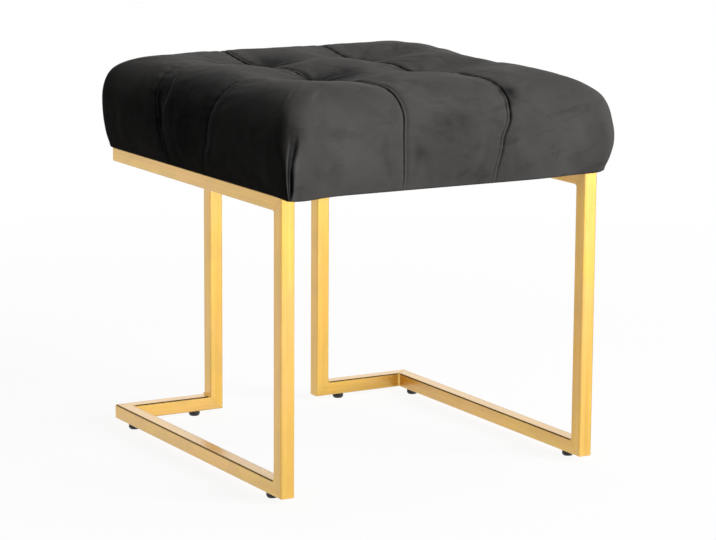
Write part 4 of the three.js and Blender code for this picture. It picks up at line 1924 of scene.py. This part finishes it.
@dataclass
class Staples:
    """The staples that hold the lining to the seat board. Sizes in millimetres."""

    crown: float = 10.0
    wire: float = 1.1
    thick: float = 0.6
    leg: float = 6.0
    pitch: float = 31.0
    inset: float = 6.0
    rounding: float = 0.2
    lean: float = 0.12
    slot: str = "zinc_steel"

    def model(self) -> Piece:
        """Models one staple, its crown along X and its legs up.

        Returns:
            The staple.
        """
        staple = bar((self.crown, self.wire, self.thick))
        bend = (0.5 * self.crown - self.thick) * MM
        for place in (-bend, bend):
            bpy.ops.mesh.select_all(action="SELECT")
            bpy.ops.mesh.bisect(plane_co=(place, 0.0, 0.0), plane_no=(1.0, 0.0, 0.0))
        clear_selection("FACE")
        for face in staple.data.polygons:
            face.select = face.normal.z > 0.9 and abs(face.center.x) > bend
        bpy.ops.object.mode_set(mode="EDIT")
        bpy.ops.mesh.extrude_faces_move(TRANSFORM_OT_shrink_fatten={"value": 0.0})
        bpy.ops.transform.translate(value=(0.0, 0.0, self.leg * MM))
        bpy.ops.object.mode_set(mode="OBJECT")
        rounding = staple.modifiers.new("rounding", "BEVEL")
        rounding.width = self.rounding * self.thick * MM
        rounding.segments = 1
        bpy.ops.object.modifier_apply(modifier=rounding.name)
        return staple

    def places(self) -> list[tuple[float, float, float]]:
        """Sets the staples out round the lining's edge.

        Returns:
            For each, its x and y and how it is turned.
        """
        low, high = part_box("dust_cover")
        left, right = low.x / MM + self.inset, high.x / MM - self.inset
        front, back = low.y / MM + self.inset, high.y / MM - self.inset
        made = []
        for start, end, fixed, flat in (
            (left, right, front, True),
            (left, right, back, True),
            (front, back, left, False),
            (front, back, right, False),
        ):
            count = round((end - start) / self.pitch)
            for step in range(count):
                along = start + (end - start) * (step + 0.5) / count
                lean = self.lean * math.sin(7.3 * along + fixed)
                made.append((along, fixed, lean) if flat else (fixed, along, lean + math.pi / 2))
        return made

    def make(self, steel: Material) -> None:
        """Drives a row of staples round the lining and joins them into one piece.

        Args:
            steel: their finish.
        """
        first = self.model()
        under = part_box("dust_cover")[0].z - 0.5 * self.thick * MM
        deselect()
        for x, y, turn in self.places():
            copy = copied(first, "lining_staple")
            lift = Matrix.Translation((x * MM, y * MM, under))
            copy.data.transform(lift @ Matrix.Rotation(turn, 4, "Z"))
            copy.select_set(True)
        bpy.data.objects.remove(first)
        joined = bpy.context.selected_objects[0]
        bpy.context.view_layer.objects.active = joined
        bpy.ops.object.join()
        joined.name = joined.data.name = "lining_staples"
        dress(joined, steel)
        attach(joined, BODY)
        log.info("lining_staples: %d faces", len(joined.data.polygons))


@dataclass
class Fittings:
    """The nodes that hold the stool together, and its glides."""

    def dress(self, finishes: dict[str, Material]) -> None:
        """Gives every fitting its finish.

        Args:
            finishes: the finish for each start of a node's name.
        """
        for name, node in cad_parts.items():
            for start, material in finishes.items():
                if name.startswith(start):
                    dress(node, material)


@dataclass(frozen=True)
class Lamp:
    """A soft lamp, or a card that only polished metal shows."""

    name: str
    place: Place
    aim: Place
    size: Plan
    power: float
    mirrored: bool = False
    shining: bool = True

    def hang(self) -> None:
        """Puts the lamp in the scene."""
        data = bpy.data.lights.new(self.name, "AREA")
        data.shape = "RECTANGLE"
        data.size, data.size_y = self.size
        data.energy = self.power
        lamp = bpy.data.objects.new(self.name, data)
        bpy.context.scene.collection.objects.link(lamp)
        lamp.location = self.place
        way = Vector(self.aim) - Vector(self.place)
        lamp.rotation_euler = way.to_track_quat("-Z", "Y").to_euler()
        lamp.visible_glossy = self.mirrored
        lamp.visible_diffuse = lamp.visible_camera = self.shining


@dataclass
class Studio:
    """A pale floor and soft lamps."""

    floor_half: float = 25.0
    near: float = 0.8
    far: float = 2.0
    floor_tone: float = 0.10
    floor_lift: float = 0.92
    fill: float = 0.04
    lamps: tuple[Lamp, ...] = (
        Lamp("key", (3.3, -4.7, 2.2), (0.0, 0.0, 0.3), (3.0, 3.8), 465.0),
        Lamp("front_card", (2.2, -3.6, 0.45), (0.0, 0.0, 0.2), (2.4, 0.9), 42.0, True, False),
        Lamp("overhead", (0.6, 0.2, 2.8), (0.0, 0.0, 0.3), (1.6, 1.6), 14.0),
        Lamp("back_card", (1.95, 3.35, 1.25), (0.0, 0.0, 0.1), (3.0, 2.4), 3.5, True, False),
        Lamp("back", (1.2, 5.0, 0.6), (0.0, 0.0, 0.4), (2.5, 1.0), 100.0),
    )

    def floor(self) -> None:
        """Lays the floor, which keeps the stool's shadow and turns white further off."""
        deselect()
        bpy.ops.mesh.primitive_plane_add(size=2 * self.floor_half, location=ORIGIN)
        floor = bpy.context.object
        floor.name = "studio_floor"
        material = bpy.data.materials.new("studio_floor")
        material.use_nodes = True
        material.node_tree.nodes.clear()
        g = Graph(material.node_tree)
        reach = g.add("VectorMath", operation="LENGTH")
        g.feed(reach.inputs[0], g.add("TexCoord").outputs["Object"])
        away = g.between(reach.outputs["Value"], 0.0, 1.0, self.near, self.far)
        seen = g.seen()
        diffuse, glow, both = g.add("BsdfDiffuse"), g.add("Emission"), g.add("AddShader")
        tone = g.blend(g.product(away, seen), (self.floor_tone,) * 3, BLACK)
        g.feed(diffuse.inputs["Color"], tone)
        g.feed(glow.inputs["Strength"], g.product(seen, g.between(away, self.floor_lift, 1.0)))
        g.feed(both.inputs[0], diffuse.outputs[0])
        g.feed(both.inputs[1], glow.outputs[0])
        g.feed(g.add("OutputMaterial").inputs["Surface"], both.outputs[0])
        floor.data.materials.append(material)

    def backdrop(self) -> None:
        """Sets a white world that lights the stool only a little."""
        world = bpy.data.worlds.new("studio")
        bpy.context.scene.world = world
        world.use_nodes = True
        world.node_tree.nodes.clear()
        g = Graph(world.node_tree)
        back = g.add("Background")
        g.feed(back.inputs["Color"], WHITE)
        g.feed(back.inputs["Strength"], g.between(g.seen(), self.fill, 1.0))
        g.feed(g.add("OutputWorld").inputs["Surface"], back.outputs[0])

    def build(self) -> None:
        """Sets up the whole studio."""
        self.floor()
        self.backdrop()
        for lamp in self.lamps:
            lamp.hang()


@dataclass
class StudioCamera:
    """The camera that the frame was measured with: degrees, pixels and metres."""

    azimuth: float = -29.75
    elevation: float = 10.73
    roll: float = 0.35
    focal_pixels: float = 2800.2
    image_width: float = 716.0
    sensor_width: float = 36.0
    farthest: float = 200.0
    place: Place = (-1.75926, -3.10318, 0.90478)

    def build(self) -> None:
        """Places the camera."""
        azimuth, elevation, roll = map(math.radians, (self.azimuth, self.elevation, self.roll))
        level = math.cos(elevation)
        back = Vector((
            math.sin(azimuth) * level,
            -math.cos(azimuth) * level,
            math.sin(elevation),
        ))
        right = Vector((0.0, 0.0, 1.0)).cross(back).normalized()
        up = back.cross(right)
        rolled_right = math.cos(roll) * right + math.sin(roll) * up
        rolled_up = -math.sin(roll) * right + math.cos(roll) * up
        turn = Matrix((rolled_right, rolled_up, back)).transposed().to_4x4()
        data = bpy.data.cameras.new("camera")
        data.sensor_fit = "HORIZONTAL"
        data.sensor_width = self.sensor_width
        data.lens = self.sensor_width * self.focal_pixels / self.image_width
        data.clip_end = self.farthest
        camera = bpy.data.objects.new("camera", data)
        bpy.context.scene.collection.objects.link(camera)
        camera.matrix_world = Matrix.Translation(self.place) @ turn
        bpy.context.scene.camera = camera


def main() -> None:
    """Builds the stool's looks round its frame."""
    logging.basicConfig(level=logging.INFO, format="%(name)s: %(message)s")
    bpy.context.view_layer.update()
    bpy.context.scene.view_settings.view_transform = "Standard"
    StudioCamera().build()
    Studio().build()
    effects = Effects()
    golds = {
        grain: SatinGold(f"satin_gold_{grain.name.lower()}", grain).material(effects)
        for grain in Grain
    }
    nylon = BlackNylon("black_nylon").material(effects)
    steel = ZincSteel("zinc_steel").material(effects)
    velvet = CharcoalVelvet("charcoal_velvet").material(effects)
    SideFrames().dress(golds)
    Fittings().dress({
        "glide_pad": nylon,
        "glide_stud": steel,
        "glide_nut": steel,
        "seat_screw": steel,
        "board_insert": steel,
        "seat_board": BirchPly("birch_ply").material(effects),
        "seat_foam": SeatFoam("seat_foam").material(effects),
        "dust_cover": SpunLining("spun_lining").material(effects),
        "tuft_tie": WaxedTwine("waxed_twine").material(effects),
        "velvet_cover": velvet,
    })
    Cushion().make(velvet)
    WeldBeads().make(golds[Grain.X])
    Staples().make(steel)


if __name__ == "__main__":
    main()
